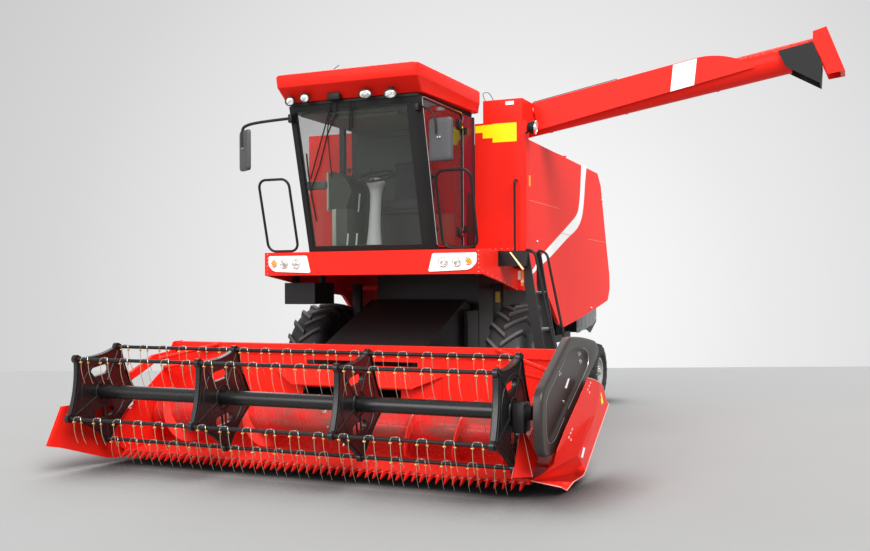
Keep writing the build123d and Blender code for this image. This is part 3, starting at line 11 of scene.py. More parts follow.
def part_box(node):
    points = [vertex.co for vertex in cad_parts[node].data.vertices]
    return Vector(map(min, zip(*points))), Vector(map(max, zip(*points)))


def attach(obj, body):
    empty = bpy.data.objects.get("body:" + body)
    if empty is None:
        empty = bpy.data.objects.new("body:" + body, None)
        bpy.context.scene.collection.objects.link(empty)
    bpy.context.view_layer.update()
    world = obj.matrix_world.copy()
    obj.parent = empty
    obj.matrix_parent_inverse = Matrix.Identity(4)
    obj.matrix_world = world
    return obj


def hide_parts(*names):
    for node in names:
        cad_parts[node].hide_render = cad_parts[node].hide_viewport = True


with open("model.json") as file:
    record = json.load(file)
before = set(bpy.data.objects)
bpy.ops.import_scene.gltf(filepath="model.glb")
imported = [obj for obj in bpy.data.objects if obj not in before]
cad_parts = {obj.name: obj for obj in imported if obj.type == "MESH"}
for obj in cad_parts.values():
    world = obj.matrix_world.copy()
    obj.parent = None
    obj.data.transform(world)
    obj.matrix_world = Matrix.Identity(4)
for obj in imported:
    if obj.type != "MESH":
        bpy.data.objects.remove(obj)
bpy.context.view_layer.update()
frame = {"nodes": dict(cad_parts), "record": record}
nodes = frame["nodes"]

# Camera and studio.  The camera stands low, ahead of the machine's left front corner; every place
# below is in metres from the machine's centre line and front axle, on the ground.
left_tyre, right_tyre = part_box("front_tyre_left"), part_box("front_tyre_right")
axle = (left_tyre[0] + left_tyre[1] + right_tyre[0] + right_tyre[1]) / 4


def at(x, y, z):
    """A place on the machine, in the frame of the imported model."""
    return Vector((x + axle.x, y + axle.y, z))


camera = bpy.data.objects.new("camera", bpy.data.cameras.new("camera"))
bpy.context.scene.collection.objects.link(camera)
camera.data.lens, camera.data.sensor_width = 40.23, 36
camera.data.clip_end = 200
CAMERA_AT, CAMERA_TURN, CAMERA_RISE, CAMERA_ROLL = (4.663, -10.414, 1.793), 23.30, 0.42, 0.34
aim = Matrix.Rotation(radians(CAMERA_TURN), 4, "Z") @ Matrix.Rotation(radians(90 + CAMERA_RISE), 4, "X")
roll = Matrix.Rotation(radians(-CAMERA_ROLL), 4, "Z")
camera.matrix_world = Matrix.Translation(at(*CAMERA_AT)) @ aim @ roll
bpy.context.scene.camera = camera
bpy.context.scene.view_settings.view_transform = "Standard"

GLOW_WAY = (-0.322, 0.947, -0.018)  # towards the brightest part of the backdrop
GLOW_STEPS = ((0.84, 0.604), (0.90, 0.677), (0.97, 0.831), (1.0, 0.955))  # nearness to it, grey
SKY_STRENGTH = 0.62  # what lights the object, whatever the backdrop shows
sky = bpy.data.worlds.new("studio")
bpy.context.scene.world = sky
sky.use_nodes = True
sky_nodes, sky_links = sky.node_tree.nodes, sky.node_tree.links
light_path = sky_nodes.new("ShaderNodeLightPath")
way = sky_nodes.new("ShaderNodeTexCoord")
glow = sky_nodes.new("ShaderNodeVectorMath")
glow.operation = "DOT_PRODUCT"
glow.inputs[1].default_value = Vector(GLOW_WAY).normalized()
ramp = sky_nodes.new("ShaderNodeValToRGB")
ramp.color_ramp.elements.new(0.90)
ramp.color_ramp.elements.new(0.97)
for stop, (level, grey) in zip(ramp.color_ramp.elements, GLOW_STEPS):
    stop.position, stop.color = level, (grey, grey, grey, 1)
plain, shown, either = (sky_nodes.new(f"ShaderNode{kind}")
                        for kind in ("Background", "Background", "MixShader"))
plain.inputs["Color"].default_value = (1.0, 1.0, 1.0, 1)
plain.inputs["Strength"].default_value = SKY_STRENGTH
mirrored, seen = sky_nodes.new("ShaderNodeMath"), sky_nodes.new("ShaderNodeMath")
mirrored.operation = seen.operation = "MAXIMUM"
for source, target in (
    (way.outputs["Generated"], glow.inputs[0]),
    (glow.outputs["Value"], ramp.inputs[0]),
    (ramp.outputs[0], shown.inputs["Color"]),
    (light_path.outputs["Is Glossy Ray"], mirrored.inputs[0]),
    (light_path.outputs["Is Transmission Ray"], mirrored.inputs[1]),
    (light_path.outputs["Is Camera Ray"], seen.inputs[0]),
    (mirrored.outputs[0], seen.inputs[1]),
    (seen.outputs[0], either.inputs[0]),
    (plain.outputs[0], either.inputs[1]),
    (shown.outputs[0], either.inputs[2]),
    (either.outputs[0], sky_nodes["World Output"].inputs["Surface"]),
):
    sky_links.new(source, target)

LAMPS = (  # name, direction it shines from, strength, spread in degrees, colour
    ("key", (0.66, -0.60, 0.95), 3.9, 38, (1.0, 0.99, 0.975)),
    ("front", (-0.25, -1.0, 0.42), 1.5, 40, (1.0, 0.99, 0.98)),
    ("rear", (-0.5, 1.0, 0.9), 0.9, 40, (0.99, 0.99, 1.0)),
)
for name, towards, strength, spread, tint in LAMPS:
    lamp = bpy.data.objects.new(name, bpy.data.lights.new(name, "SUN"))
    bpy.context.scene.collection.objects.link(lamp)
    lamp.data.energy, lamp.data.angle, lamp.data.color = strength, radians(spread), tint
    lamp.rotation_mode = "QUATERNION"
    lamp.rotation_quaternion = Vector(towards).to_track_quat("Z", "Y")

# Studio floor: pale painted boards out to a straight edge behind the machine, matt and faintly
# mottled, with a painted shadow: its colour turns towards black where the machine stands close above it.  It
# is no part of the machine.
FLOOR_EDGE, FLOOR_REACH = 20.2, 90.0
SHADOW_PAINT_REACH = 1.0  # how far off a form still darkens the floor beneath it


class Wire:
    """One socket of a finish.  Sums and products of wires add Math nodes; add() makes any node."""

    def __init__(self, tree, socket=None):
        self.tree, self.socket = tree, socket

    def add(self, kind, settings=None, inputs=None, out=0):
        node = self.tree.nodes.new("ShaderNode" + kind)
        for key, value in (settings or {}).items():
            if key == "stops":
                while len(node.color_ramp.elements) < len(value):
                    node.color_ramp.elements.new(0.5)
                for stop, (place, level) in zip(node.color_ramp.elements, value):
                    colour = level if isinstance(level, tuple) else (level, level, level, 1)
                    stop.position, stop.color = place, colour
            else:
                setattr(node, key, value)
        for key, value in (inputs or {}).items():
            if isinstance(value, Wire):
                self.tree.links.new(value.socket, node.inputs[key])
            else:
                node.inputs[key].default_value = value
        return Wire(self.tree, node.outputs[out])

    def sum(self, kind, *terms):
        return self.add("Math", {"operation": kind}, dict(enumerate(terms)))

    def __add__(self, other):
        return self.sum("ADD", self, other)

    def __sub__(self, other):
        return self.sum("SUBTRACT", self, other)

    def __rsub__(self, other):
        return self.sum("SUBTRACT", other, self)

    def __mul__(self, other):
        return self.sum("MULTIPLY", self, other)

    __radd__, __rmul__ = __add__, __mul__

    def __gt__(self, other):
        return self.sum("GREATER_THAN", self, other)

    def mix(self, low, high):
        """Colour from low to high, by this wire."""
        return self.add("Mix", {"data_type": "RGBA"}, {0: self, 6: low, 7: high}, out=2)

    def noise(self, scale, detail=3.0, stretch=(1, 1, 1)):
        place = self.add("TexCoord", out=3)
        spread = self.add("VectorMath", {"operation": "MULTIPLY"}, {0: place, 1: stretch})
        return self.add("TexNoise", None, {"Vector": spread, "Scale": scale, "Detail": detail})

    def ramp(self, *stops):
        return self.add("ValToRGB", {"stops": stops}, {0: self})


def finish(name, build):
    """A material: build(wire) returns what goes into the shader, by socket name."""
    material = bpy.data.materials.new(name)
    material.use_nodes = True
    tree = material.node_tree
    for key, value in build(Wire(tree)).items():
        socket = tree.nodes["Principled BSDF"].inputs[key]
        if isinstance(value, Wire):
            tree.links.new(value.socket, socket)
        else:
            socket.default_value = value
    return material


def floor_finish(wire):
    mottle = wire.noise(0.6, 4)
    boards = mottle.mix((0.314, 0.319, 0.320, 1), (0.328, 0.334, 0.335, 1))
    # Painted shadow: ambient occlusion turns the floor's colour towards black near the machine.
    painted_shadow_ao = wire.add("AmbientOcclusion", {"samples": 8}, {"Distance": SHADOW_PAINT_REACH}, out=1)
    unshadowed_share = painted_shadow_ao.ramp((0.36, 0.0), (0.66, 0.40), (0.90, 1.0))
    return {"Base Color": unshadowed_share.mix((0.012, 0.012, 0.013, 1), boards), "Roughness": 0.9,
            "Specular IOR Level": 0.1}


view_way = Vector((-sin(radians(CAMERA_TURN)), cos(radians(CAMERA_TURN)), 0))
aside = Vector((view_way.y, -view_way.x, 0))
edge = at(CAMERA_AT[0], CAMERA_AT[1], 0) + view_way * FLOOR_EDGE
floor_mesh = bpy.data.meshes.new("studio_floor")
corners = [edge + aside * side * FLOOR_REACH - view_way * depth
           for side, depth in ((-1, FLOOR_REACH), (1, FLOOR_REACH), (1, 0), (-1, 0))]
floor_mesh.from_pydata([tuple(c) for c in corners], [], [(0, 1, 2, 3)])
floor = bpy.data.objects.new("studio_floor", floor_mesh)
bpy.context.scene.collection.objects.link(floor)
floor_mesh.materials.append(finish("floor", floor_finish))

# Finishes: sheet steel in a bright red gloss enamel, with a thin film of dust on what faces up and
# a few small chips, and the satin surfaces of rubber, plastic, bare steel and glass.
RED = (0.86, 0.020, 0.011, 1)


DUST, PRIMER = (0.62, 0.30, 0.24, 1), (0.30, 0.10, 0.08, 1)


def enamel(colour, worn=0.12, gloss=0.36, coat=0.04):
    """Gloss paint on steel, slightly uneven, with dust and small chips."""
    def build(wire):
        broad, fine = wire.noise(0.9, 4), wire.noise(38, 5)
        shade = broad.ramp((0.3, tuple(c * 0.93 for c in colour[:3]) + (1,)), (0.7, colour))
        up = wire.add("SeparateXYZ", None, {0: wire.add("NewGeometry", out=1)}, out=2)
        dust = (up > 0.55) * fine.ramp((0.45, 0.0), (0.75, 0.30))
        dusty = dust.mix(shade, DUST)
        chips = (wire.noise(7, 8) * fine) > (0.47 - 0.06 * worn)
        grain = wire.add("Bump", None, {"Strength": 0.05, "Distance": 0.002, "Height": wire.noise(160, 2)})
        return {"Base Color": (chips * worn).mix(dusty, PRIMER),
                "Roughness": gloss + fine * 0.10 + dust * 0.3, "Coat Weight": coat, "Coat Roughness": 0.12,
                "Specular IOR Level": 0.10, "Normal": grain}
    return build


def satin(colour, roughness, metallic=0.0, grain=90, depth=0.12, shine=0.3):
    """Painted or moulded surface with a fine grain and a little dust."""
    def build(wire):
        broad, fine = wire.noise(2.2, 5), wire.noise(grain, 3)
        lighter = tuple(min(1, c * 1.35 + 0.003) for c in colour[:3]) + (1,)
        bump = wire.add("Bump", None, {"Strength": depth, "Distance": 0.002, "Height": fine})
        return {"Base Color": (broad * fine * 1.6).mix(colour, lighter), "Roughness": roughness + fine * 0.15,
                "Metallic": metallic, "Specular IOR Level": shine, "Normal": bump}
    return build


red_paint = finish("red_enamel", enamel(RED))
black_paint = finish("black_enamel", satin((0.008, 0.0075, 0.0078, 1), 0.36))
FINISHES = {
    "red_paint": red_paint, "black_paint": black_paint,
    "tyre": finish("tyre_rubber", satin((0.016, 0.016, 0.0165, 1), 0.72, grain=60, depth=0.4)),
    # The off-white rims are coloured a mid grey here, as painted shade.
    "rim_paint": finish("rim_enamel_painted_shade", satin((0.30, 0.30, 0.29, 1), 0.38)),
    "steel": finish("bare_steel", satin((0.50, 0.49, 0.46, 1), 0.32, 1.0)),
    "engine_iron": finish("engine_iron", satin((0.07, 0.075, 0.08, 1), 0.55, 0.3)),
    "exhaust_steel": finish("exhaust_steel", satin((0.20, 0.17, 0.15, 1), 0.6, 0.8)),
    "lamp_white": finish("lamp_panel", satin((0.84, 0.84, 0.83, 1), 0.25)),
    "black_plastic": finish("black_plastic", satin((0.010, 0.0095, 0.0095, 1), 0.42, grain=240, depth=0.2)),
    "column_grey": finish("grey_plastic", satin((0.30, 0.31, 0.32, 1), 0.5, grain=240)),
    "seat_cover": finish("seat_cloth", satin((0.03, 0.03, 0.033, 1), 0.8, grain=300)),
    "chrome_rod": finish("chromed_rod", satin((0.75, 0.75, 0.76, 1), 0.08, 1.0, depth=0.0)),
    "rubber": finish("rubber_sheet", satin((0.012, 0.012, 0.0125, 1), 0.55)),
    "spring_wire": finish("spring_wire", satin((0.58, 0.50, 0.36, 1), 0.38, 1.0, depth=0.0)),
    "brass_wire": finish("passivated_coil", satin((0.56, 0.42, 0.13, 1), 0.38, 1.0, depth=0.0)),
}


def pane(colour, veil, smears, roughness, **more):
    """Tinted glass, faintly smeared."""
    def build(wire):
        smear = wire.noise(3.5, 6)
        return {"Base Color": colour, "Alpha": veil + smear * smears, "Roughness": roughness + smear * 0.05,
                "Coat Weight": 1.0, **more}
    return build


def add_finish(name, build):
    """Makes a finish that pieces ask for by its name."""
    FINISHES[name] = finish(name, build)


clear_pane = pane((0.085, 0.095, 0.088, 1), 0.15, 0.06, 0.03, **{"Coat Roughness": 0.02, "IOR": 1.52})
FINISHES["window_glass"] = finish("tinted_glass", clear_pane)
for part in frame["record"]["subparts"]:
    mesh = nodes[part["node"]].data
    mesh.materials.clear()
    mesh.materials.append(FINISHES[part["material_slot"]])


def piece(name, form, surface, body, *stands_for, crease=38):
    """A finished mesh in the scene: smooth up to the crease angle, carried by its body."""
    mesh = bpy.data.meshes.new(name)
    bmesh.ops.recalc_face_normals(form, faces=form.faces)
    form.to_mesh(mesh)
    form.free()
    mesh.shade_smooth()
    mesh.set_sharp_from_angle(angle=radians(crease))
    made = bpy.data.objects.new(name, mesh)
    bpy.context.scene.collection.objects.link(made)
    mesh.materials.append(FINISHES[surface])
    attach(made, body)
    if stands_for:
        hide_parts(*stands_for)
    return made


def skin(form, rings, closed_ring=True, closed_run=False):
    """Quads between rings of points; an open run of closed rings is capped at both ends."""
    rows = [[form.verts.new(point) for point in ring] for ring in rings]
    size = len(rows[0])
    for low, high in zip(rows, rows[1:] + rows[:1] if closed_run else rows[1:]):
        for k in range(size if closed_ring else size - 1):
            form.faces.new((low[k], low[(k + 1) % size], high[(k + 1) % size], high[k]))
    if closed_ring and not closed_run:
        form.faces.new(rows[0])
        form.faces.new(rows[-1])


def ring_across(centre, x, radius, steps):
    """Points of a circle that lies across X, x away from centre."""
    return [centre + Vector((x, radius * cos(tau * k / steps), radius * sin(tau * k / steps)))
            for k in range(steps)]


def turned(form, profile, centre, steps, closed=True):
    """Ring about a crosswise axis through centre; profile is (out along X, radius)."""
    rings = [[centre + Vector((x, r * cos(tau * k / steps), r * sin(tau * k / steps))) for x, r in profile]
             for k in range(steps)]
    skin(form, rings, closed_ring=closed, closed_run=True)


def tyre_carcass(width, outer, bead, shoulder):
    """Half section of the casing from one bead round to the other."""
    half = width / 2
    outside = [(0.62 * half, bead), (0.80 * half, bead + 0.018), (0.95 * half, bead + 0.30 * (outer - bead)),
               (0.985 * half, bead + 0.52 * (outer - bead)), (0.95 * half, bead + 0.74 * (outer - bead)),
               (shoulder * half, outer - 0.030), (0.55 * half, outer - 0.008), (0.0, outer)]
    return [(-x, r) for x, r in outside] + [(x, r) for x, r in reversed(outside[:-1])]


def tyre_bars(form, centre, width, outer, count, height, reach, base, top):
    """Two rows of leaning bars, each a strip of sections over the tread and the shoulder."""
    half = width / 2
    for row in (-1, 1):
        for turn in range(count):
            start = tau * (turn + 0.25 * row) / count
            sections = []
            for run, drop, lift in ((-0.06, 0.0, 1.0), (0.30, 0.004, 1.0), (0.60, 0.010, 1.0),
                                    (0.84, 0.022, 1.0), (0.955, 0.062, 0.75), (0.97, 0.115, 0.25)):
                x = row * run * half
                swing = start + reach * min(run, 0.9) / outer
                out_x, out_r = (row * 0.9, 0.45) if run > 0.9 else (0, 1)
                section = []
                for lifted, spread in ((-0.012, base), (height * lift, top), (height * lift, -top),
                                       (-0.012, -base)):
                    r = outer - drop + lifted * out_r
                    angle = swing + spread / 2 / outer
                    section.append(centre + Vector((x + lifted * out_x * 0.35, r * sin(angle),
                                                    r * cos(angle))))
                sections.append(section)
            skin(form, sections)


TYRES = (  # end, width, outer radius, bead radius, bars, their height, lean, foot and top widths, steps
    ("front", 0.455, 0.738, 0.392, 22, 0.036, 0.20, 0.066, 0.040, 88),
    ("rear", 0.226, 0.416, 0.220, 20, 0.016, 0.09, 0.046, 0.030, 64),
)
for end, width, outer, bead, count, height, reach, base, top, steps in TYRES:
    for side in ("left", "right"):
        low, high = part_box(f"{end}_tyre_{side}")
        hub = (low + high) / 2
        casing = bmesh.new()
        turned(casing, tyre_carcass(width, outer, bead, 0.80), hub, steps, closed=False)
        tyre_bars(casing, hub, width, outer, count, height, reach, base, top)
        for ridge in (0.22, 0.30):
            r = bead + ridge * (outer - bead)
            for face in (-1, 1):
                x = face * width * 0.47
                turned(casing, [(x, r - 0.004), (x + face * 0.005, r), (x, r + 0.004)], hub, steps)
        piece(f"{end}_tyre_{side}_rubber", casing, "tyre", f"{end}_wheel_{side}", f"{end}_tyre_{side}",
              crease=50)

# Rims: pressed steel rings with a dished disc, welded in and painted off-white, on a hub held by
# a circle of nuts.  Their finish is a mid grey, darker than the off-white paint, as painted shade.
RIMS = (  # end, bead radius, width, hub radius, nuts, their circle, nut radius, how far in the disc stands
    ("front", 0.393, 0.29, 0.075, 8, 0.140, 0.014, -0.04),
    ("rear", 0.221, 0.163, 0.045, 6, 0.078, 0.009, -0.01),
)
for end, bead, width, hub_r, nuts, circle, size, inset in RIMS:
    for side, hand in (("left", 1), ("right", -1)):
        low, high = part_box(f"{end}_rim_{side}")
        hub = Vector((0, (low.y + high.y) / 2, (low.z + high.z) / 2))
        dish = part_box(f"{end}_tyre_{side}")
        hub.x = (dish[0].x + dish[1].x) / 2
        half = width / 2
        rim_form = bmesh.new()
        well = bead - 0.055
        profile = [(-half, bead - 0.004), (-half + 0.006, bead), (-half * 0.80, bead - 0.008),
                   (-half * 0.55, well), (half * 0.45, well), (half * 0.74, bead - 0.010),
                   (half - 0.006, bead), (half, bead - 0.005), (half * 0.97, bead - 0.030),
                   (half * 0.70, bead - 0.036), (half * 0.46, well - 0.012), (inset + 0.045, well - 0.014),
                   (inset + 0.022, well - 0.030), (inset + 0.016, circle * 1.75),
                   (inset + 0.045, circle * 1.42), (inset + 0.062, circle * 1.30),
                   (inset + 0.062, hub_r * 0.9), (inset - 0.02, hub_r * 0.9), (inset - 0.02, circle * 1.3),
                   (inset, circle * 1.75), (inset, well - 0.03), (inset - 0.02, well - 0.012),
                   (-half * 0.55, well - 0.012), (-half * 0.80, bead - 0.034), (-half, bead - 0.03)]
        turned(rim_form, [(hand * x, r) for x, r in profile], hub, 64)
        cap = [(0.0, hub_r * 0.9), (0.05, hub_r * 0.86), (0.062, hub_r * 0.66), (0.064, 0.0005)]
        turned(rim_form, [(hand * (inset + 0.055 + x), r) for x, r in cap], hub, 24, closed=False)
        piece(f"{end}_rim_{side}_disc", rim_form, "rim_paint", f"{end}_wheel_{side}", f"{end}_rim_{side}",
              crease=30)
        nut_form = bmesh.new()
        for turn in range(nuts):
            angle = tau * (turn + 0.5) / nuts
            place = hub + Vector((hand * (inset + 0.060), circle * cos(angle), circle * sin(angle)))
            for radius, depth in ((size, 0.016), (size * 0.55, 0.030)):
                skin(nut_form, [ring_across(place, hand * x, r, 6)
                                for x, r in ((0, radius), (depth * 0.8, radius), (depth, radius * 0.8))])
        piece(f"{end}_rim_{side}_nuts", nut_form, "steel", f"{end}_wheel_{side}")

# Folded and welded sheet: every hard edge of the frames, boxes and panels is broken by a small
# radius, as a press brake or a grinder leaves it, so that it catches the light.
EDGE_RADII = {"header_frame": 0.0035, "front_columns": 0.007, "side_panels": 0.008, "rear_cover": 0.004,
              "deck": 0.005, "grain_tank": 0.006, "thresher_body": 0.008, "straw_hood": 0.005,
              "feeder_house": 0.008, "chassis_frame": 0.006, "front_axle": 0.006, "rear_axle": 0.006,
              "steering_knuckle_left": 0.004, "steering_knuckle_right": 0.004, "engine": 0.010,
              "radiator": 0.005, "exhaust": 0.005, "ladder": 0.003, "battery_box": 0.008, "cab_frame": 0.008,
              "reel_core": 0.003, "unload_tube": 0.003, "unload_spout": 0.003, "auger_turret": 0.004,
              "lift_barrels": 0.003, "lift_rods": 0.003, "seat_frame": 0.008}


def break_edges(thing, radius, segments=2):
    """Rounds the hard edges of a part, by modifiers."""
    flats = thing.modifiers.new("flats", "DECIMATE")
    flats.decimate_type, flats.angle_limit = "DISSOLVE", radians(0.6)
    edges = thing.modifiers.new("edges", "BEVEL")
    edges.width, edges.segments = radius, segments
    edges.limit_method, edges.angle_limit = "ANGLE", radians(36)
    edges.harden_normals = True
    return thing


for name, radius in EDGE_RADII.items():
    break_edges(nodes[name], radius)

# Reel tines: spring steel wire.  Each spring is one wire that goes over a bar as a clip and is
# wound into a coil at either side, and its two legs hang down and curve back.
REEL_BARS, REEL_HALF, REEL_HEIGHT, CLIPS = 5, 2.110, 0.750, 18
BAR_RADIUS, TINE_PAIR, TINE_WIRE, TINE_LEG, COIL_RADIUS = 0.0165, 0.085, 0.0026, 0.196, 0.0072
CLIP_HOOP = ((-0.044, -0.012, -0.024), (-0.043, -0.020, -0.004), (-0.036, -0.012, 0.015),
             (-0.026, 0.002, 0.020), (0.026, 0.002, 0.020), (0.036, -0.012, 0.015), (0.043, -0.020, -0.004),
             (0.044, -0.012, -0.024))


def forms(count):
    """Empty meshes to build in."""
    return [bmesh.new() for _ in range(count)]


def wire_along(form, points, radius, sides=6):
    """Round wire or pipe along points, its ends closed."""
    rings = []
    side_way = None
    for k, point in enumerate(points):
        ahead = (points[min(k + 1, len(points) - 1)] - points[max(k - 1, 0)]).normalized()
        if side_way is None:
            side_way = ahead.orthogonal().normalized()
        side_way = (side_way - ahead * side_way.dot(ahead)).normalized()
        up_way = ahead.cross(side_way)
        rings.append([point + side_way * radius * cos(tau * s / sides)
                      + up_way * radius * sin(tau * s / sides) for s in range(sides)])
    skin(form, rings)


def pipe(form, places, radius, sides=6):
    """Round pipe along places on the machine."""
    wire_along(form, [at(*place) for place in places], radius, sides)


reel_low, reel_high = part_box("reel_core")
reel_axle = Vector((axle.x, (reel_low.y + reel_high.y) / 2, at(0, 0, REEL_HEIGHT).z))
for number in range(1, REEL_BARS + 1):
    low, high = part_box(f"tine_bar_{number}")
    bar_y, bar_z = low.y + 0.028, high.z - 0.017
    tine_form, coil_form, bar_form, clip_form = forms(4)
    wire_along(bar_form, [Vector((low.x + (high.x - low.x) * k / 24, bar_y, bar_z)) for k in range(25)],
               BAR_RADIUS, 20)
    for clip in range(CLIPS):
        x = axle.x + (clip - 8.5) * REEL_HALF / 9
        wire_along(clip_form, [Vector((x + a, bar_y + b, bar_z + c)) for a, b, c in CLIP_HOOP], 0.0032)
        wire_along(clip_form, [Vector((x, bar_y, bar_z + 0.012)), Vector((x, bar_y, bar_z + 0.026))], 0.0065,
                   8)
        for hand in (-1, 1):
            foot = Vector((x + hand * TINE_PAIR / 2, bar_y - 0.012, bar_z - 0.029))
            wire_along(coil_form, [foot + Vector((hand * 0.0008 * turn - hand * 0.008,
                                                  COIL_RADIUS * sin(tau * turn / 8),
                                                  COIL_RADIUS * cos(tau * turn / 8))) for turn in range(25)],
                       TINE_WIRE, 5)
            leg = [foot + Vector((hand * 0.006 * run, 0.062 * run ** 2 - 0.004 * run,
                                  -0.006 - TINE_LEG * run)) for run in (0, 0.25, 0.5, 0.75, 1.0)]
            wire_along(tine_form, leg, TINE_WIRE)
    piece(f"bar_{number}_tube", bar_form, "black_paint", f"tine_bar_{number}", f"tine_bar_{number}")
    for kind, form, surface in (("clips", clip_form, "steel"), ("coils", coil_form, "brass_wire"),
                                ("tines", tine_form, "spring_wire")):
        piece(f"bar_{number}_{kind}", form, surface, f"tine_bar_{number}")

# Spiders: black pressed discs with a flat rim bent round them, a bearing cap at each bar and, on
# their faces, a pressed ring and a raised rib out to every bar.  The tube between them is glossy.
BAR_CIRCLE, POINT_REACH, WAIST_REACH, DISC_FACE, FIRST_BAR = 0.476, 0.495, 0.3655, 0.0195, -9.5


def spoke(angle):
    """Unit vector across X."""
    return Vector((0, cos(angle), sin(angle)))


spider_form = bmesh.new()
for station in (-REEL_HALF, -REEL_HALF / 3, REEL_HALF / 3, REEL_HALF):
    x = axle.x + station
    hub = Vector((x, reel_axle.y, reel_axle.z))
    for turn in range(REEL_BARS):
        angle, ahead = radians(FIRST_BAR + 72 * turn), radians(FIRST_BAR + 72 * (turn + 1))
        bearing = spoke(angle)
        skin(spider_form, [ring_across(hub + bearing * BAR_CIRCLE, a, r, 16)
                           for a, r in ((-0.028, 0.019), (-0.028, 0.027), (0.028, 0.027), (0.028, 0.019))],
             closed_run=True)
        first, last = bearing * POINT_REACH, spoke(ahead) * POINT_REACH
        waist = spoke((angle + ahead) / 2) * WAIST_REACH
        control = waist * 2 - (first + last) / 2
        rim_rings = []
        for k in range(1, 14):
            run = k / 14
            point = first * (1 - run) ** 2 + control * 2 * run * (1 - run) + last * run ** 2
            inward = -point.normalized()
            rim_rings.append([hub + point + Vector((a, 0, 0)) + inward * b
                              for a, b in ((-0.036, 0), (0.030, 0), (0.030, 0.005), (-0.036, 0.005))])
        skin(spider_form, rim_rings)
        for face in (-1, 1):
            across = Vector((0, -bearing.z, bearing.y))
            skin(spider_form, [[hub + bearing * r + across * a * wide + Vector((face * (DISC_FACE + b), 0, 0))
                                for a, b in ((-1, 0), (-0.5, 0.007), (0.5, 0.007), (1, 0))]
                               for r, wide in ((0.10, 0.018), (0.43, 0.012))])
    for face in (-1, 1):
        for ring_r, wide, high in ((0.108, 0.010, 0.008), (0.300, 0.008, 0.006)):
            turned(spider_form, [(face * (DISC_FACE + out), r)
                                 for out, r in ((0, ring_r - wide), (high, ring_r - wide / 2),
                                                (high, ring_r + wide / 2), (0, ring_r + wide))], hub, 48)
        for k in range(6):
            angle = tau * k / 6
            drum_bolt = hub + Vector((face * DISC_FACE, 0.084 * cos(angle), 0.084 * sin(angle)))
            wire_along(spider_form, [drum_bolt, drum_bolt + Vector((face * 0.014, 0, 0))], 0.008, 6)
piece("spider_rims", spider_form, "black_paint", "reel")
add_finish("gloss_black", satin((0.005, 0.005, 0.0055, 1), 0.22, grain=30, depth=0.02,
                                                      shine=0.6))
nodes["reel_core"].data.materials[0] = FINISHES["gloss_black"]

# Table auger: a red drum with two screws of bent flighting, left and right hand, that bring the
# crop to the middle, where steel fingers push it up the feeder.
def scoured_and_shaded(wire):
    """Red enamel, darker than the table's red as painted shade, that the crop has worn in streaks."""
    streaks, cloud = wire.noise(9, 5, (0.25, 1, 1)), wire.noise(2.0, 3)
    worn = (streaks * cloud * 3.2).ramp((0.62, 0.0), (0.98, 0.85))
    return {"Base Color": worn.mix((0.60, 0.014, 0.012, 1), (0.22, 0.06, 0.045, 1)),
            "Roughness": 0.26 + streaks * 0.2, "Coat Weight": 0.25, "Specular IOR Level": 0.4}


# The drum's base red is darker than the rest as painted shade; the pale streaks are real wear.
add_finish("scoured_red_painted_shade", scoured_and_shaded)
# The flights' red is lighter and more orange than the table's red: a painted highlight.
add_finish("flight_red_painted_highlight", enamel((0.90, 0.060, 0.045, 1), 0.3, 0.24, 0.4))
auger_low, auger_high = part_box("header_auger")
drum = (auger_low + auger_high) / 2
drum_form, screw_form, finger_form = forms(3)
turned(drum_form, [(-2.104, 0.02), (-2.104, 0.150), (-2.094, 0.160), (2.094, 0.160), (2.104, 0.150),
                   (2.104, 0.02)], drum, 56)
SCREW_START, SCREW_LENGTH, SCREW_PITCH, SCREW_STEPS = 2.090, 1.440, 0.480, 144
FLIGHT = ((-0.0035, 0.157), (-0.0035, 0.279), (-0.008, 0.281), (0, 0.285), (0.008, 0.281), (0.0035, 0.279),
          (0.0035, 0.157))
for hand in (-1, 1):
    rings = []
    for k in range(SCREW_STEPS + 1):
        out = spoke(tau * SCREW_LENGTH / SCREW_PITCH * k / SCREW_STEPS)
        centre = drum + Vector((hand * (SCREW_START - SCREW_LENGTH * k / SCREW_STEPS), 0, 0))
        rings.append([centre + out * r + Vector((a, 0, 0)) for a, r in FLIGHT])
    skin(screw_form, rings)
for number in range(8):
    way_out = spoke(radians(45 * number))
    root = drum + Vector((-0.420 + 0.120 * number, 0, 0))
    wire_along(finger_form, [root + way_out * 0.155, root + way_out * 0.172], 0.024, 14)
    wire_along(finger_form, [root + way_out * 0.17, root + way_out * 0.262, root + way_out * 0.270], 0.0085,
               10)
piece("auger_drum", drum_form, "scoured_red_painted_shade", "table_auger", "header_auger")
piece("auger_screws", screw_form, "flight_red_painted_highlight", "table_auger")
piece("auger_fingers", finger_form, "steel", "table_auger")

# Cutter bar: forged guards bolted along the table's lip, a reciprocating knife of triangular
# sections between them, and a hold-down clip at every fourth.
def profile_plate(form, outline, x0, x1):
    """Solid between two planes across X, from an outline of (y, z)."""
    skin(form, [[at(x, y, z) for y, z in outline] for x in (x0, x1)])


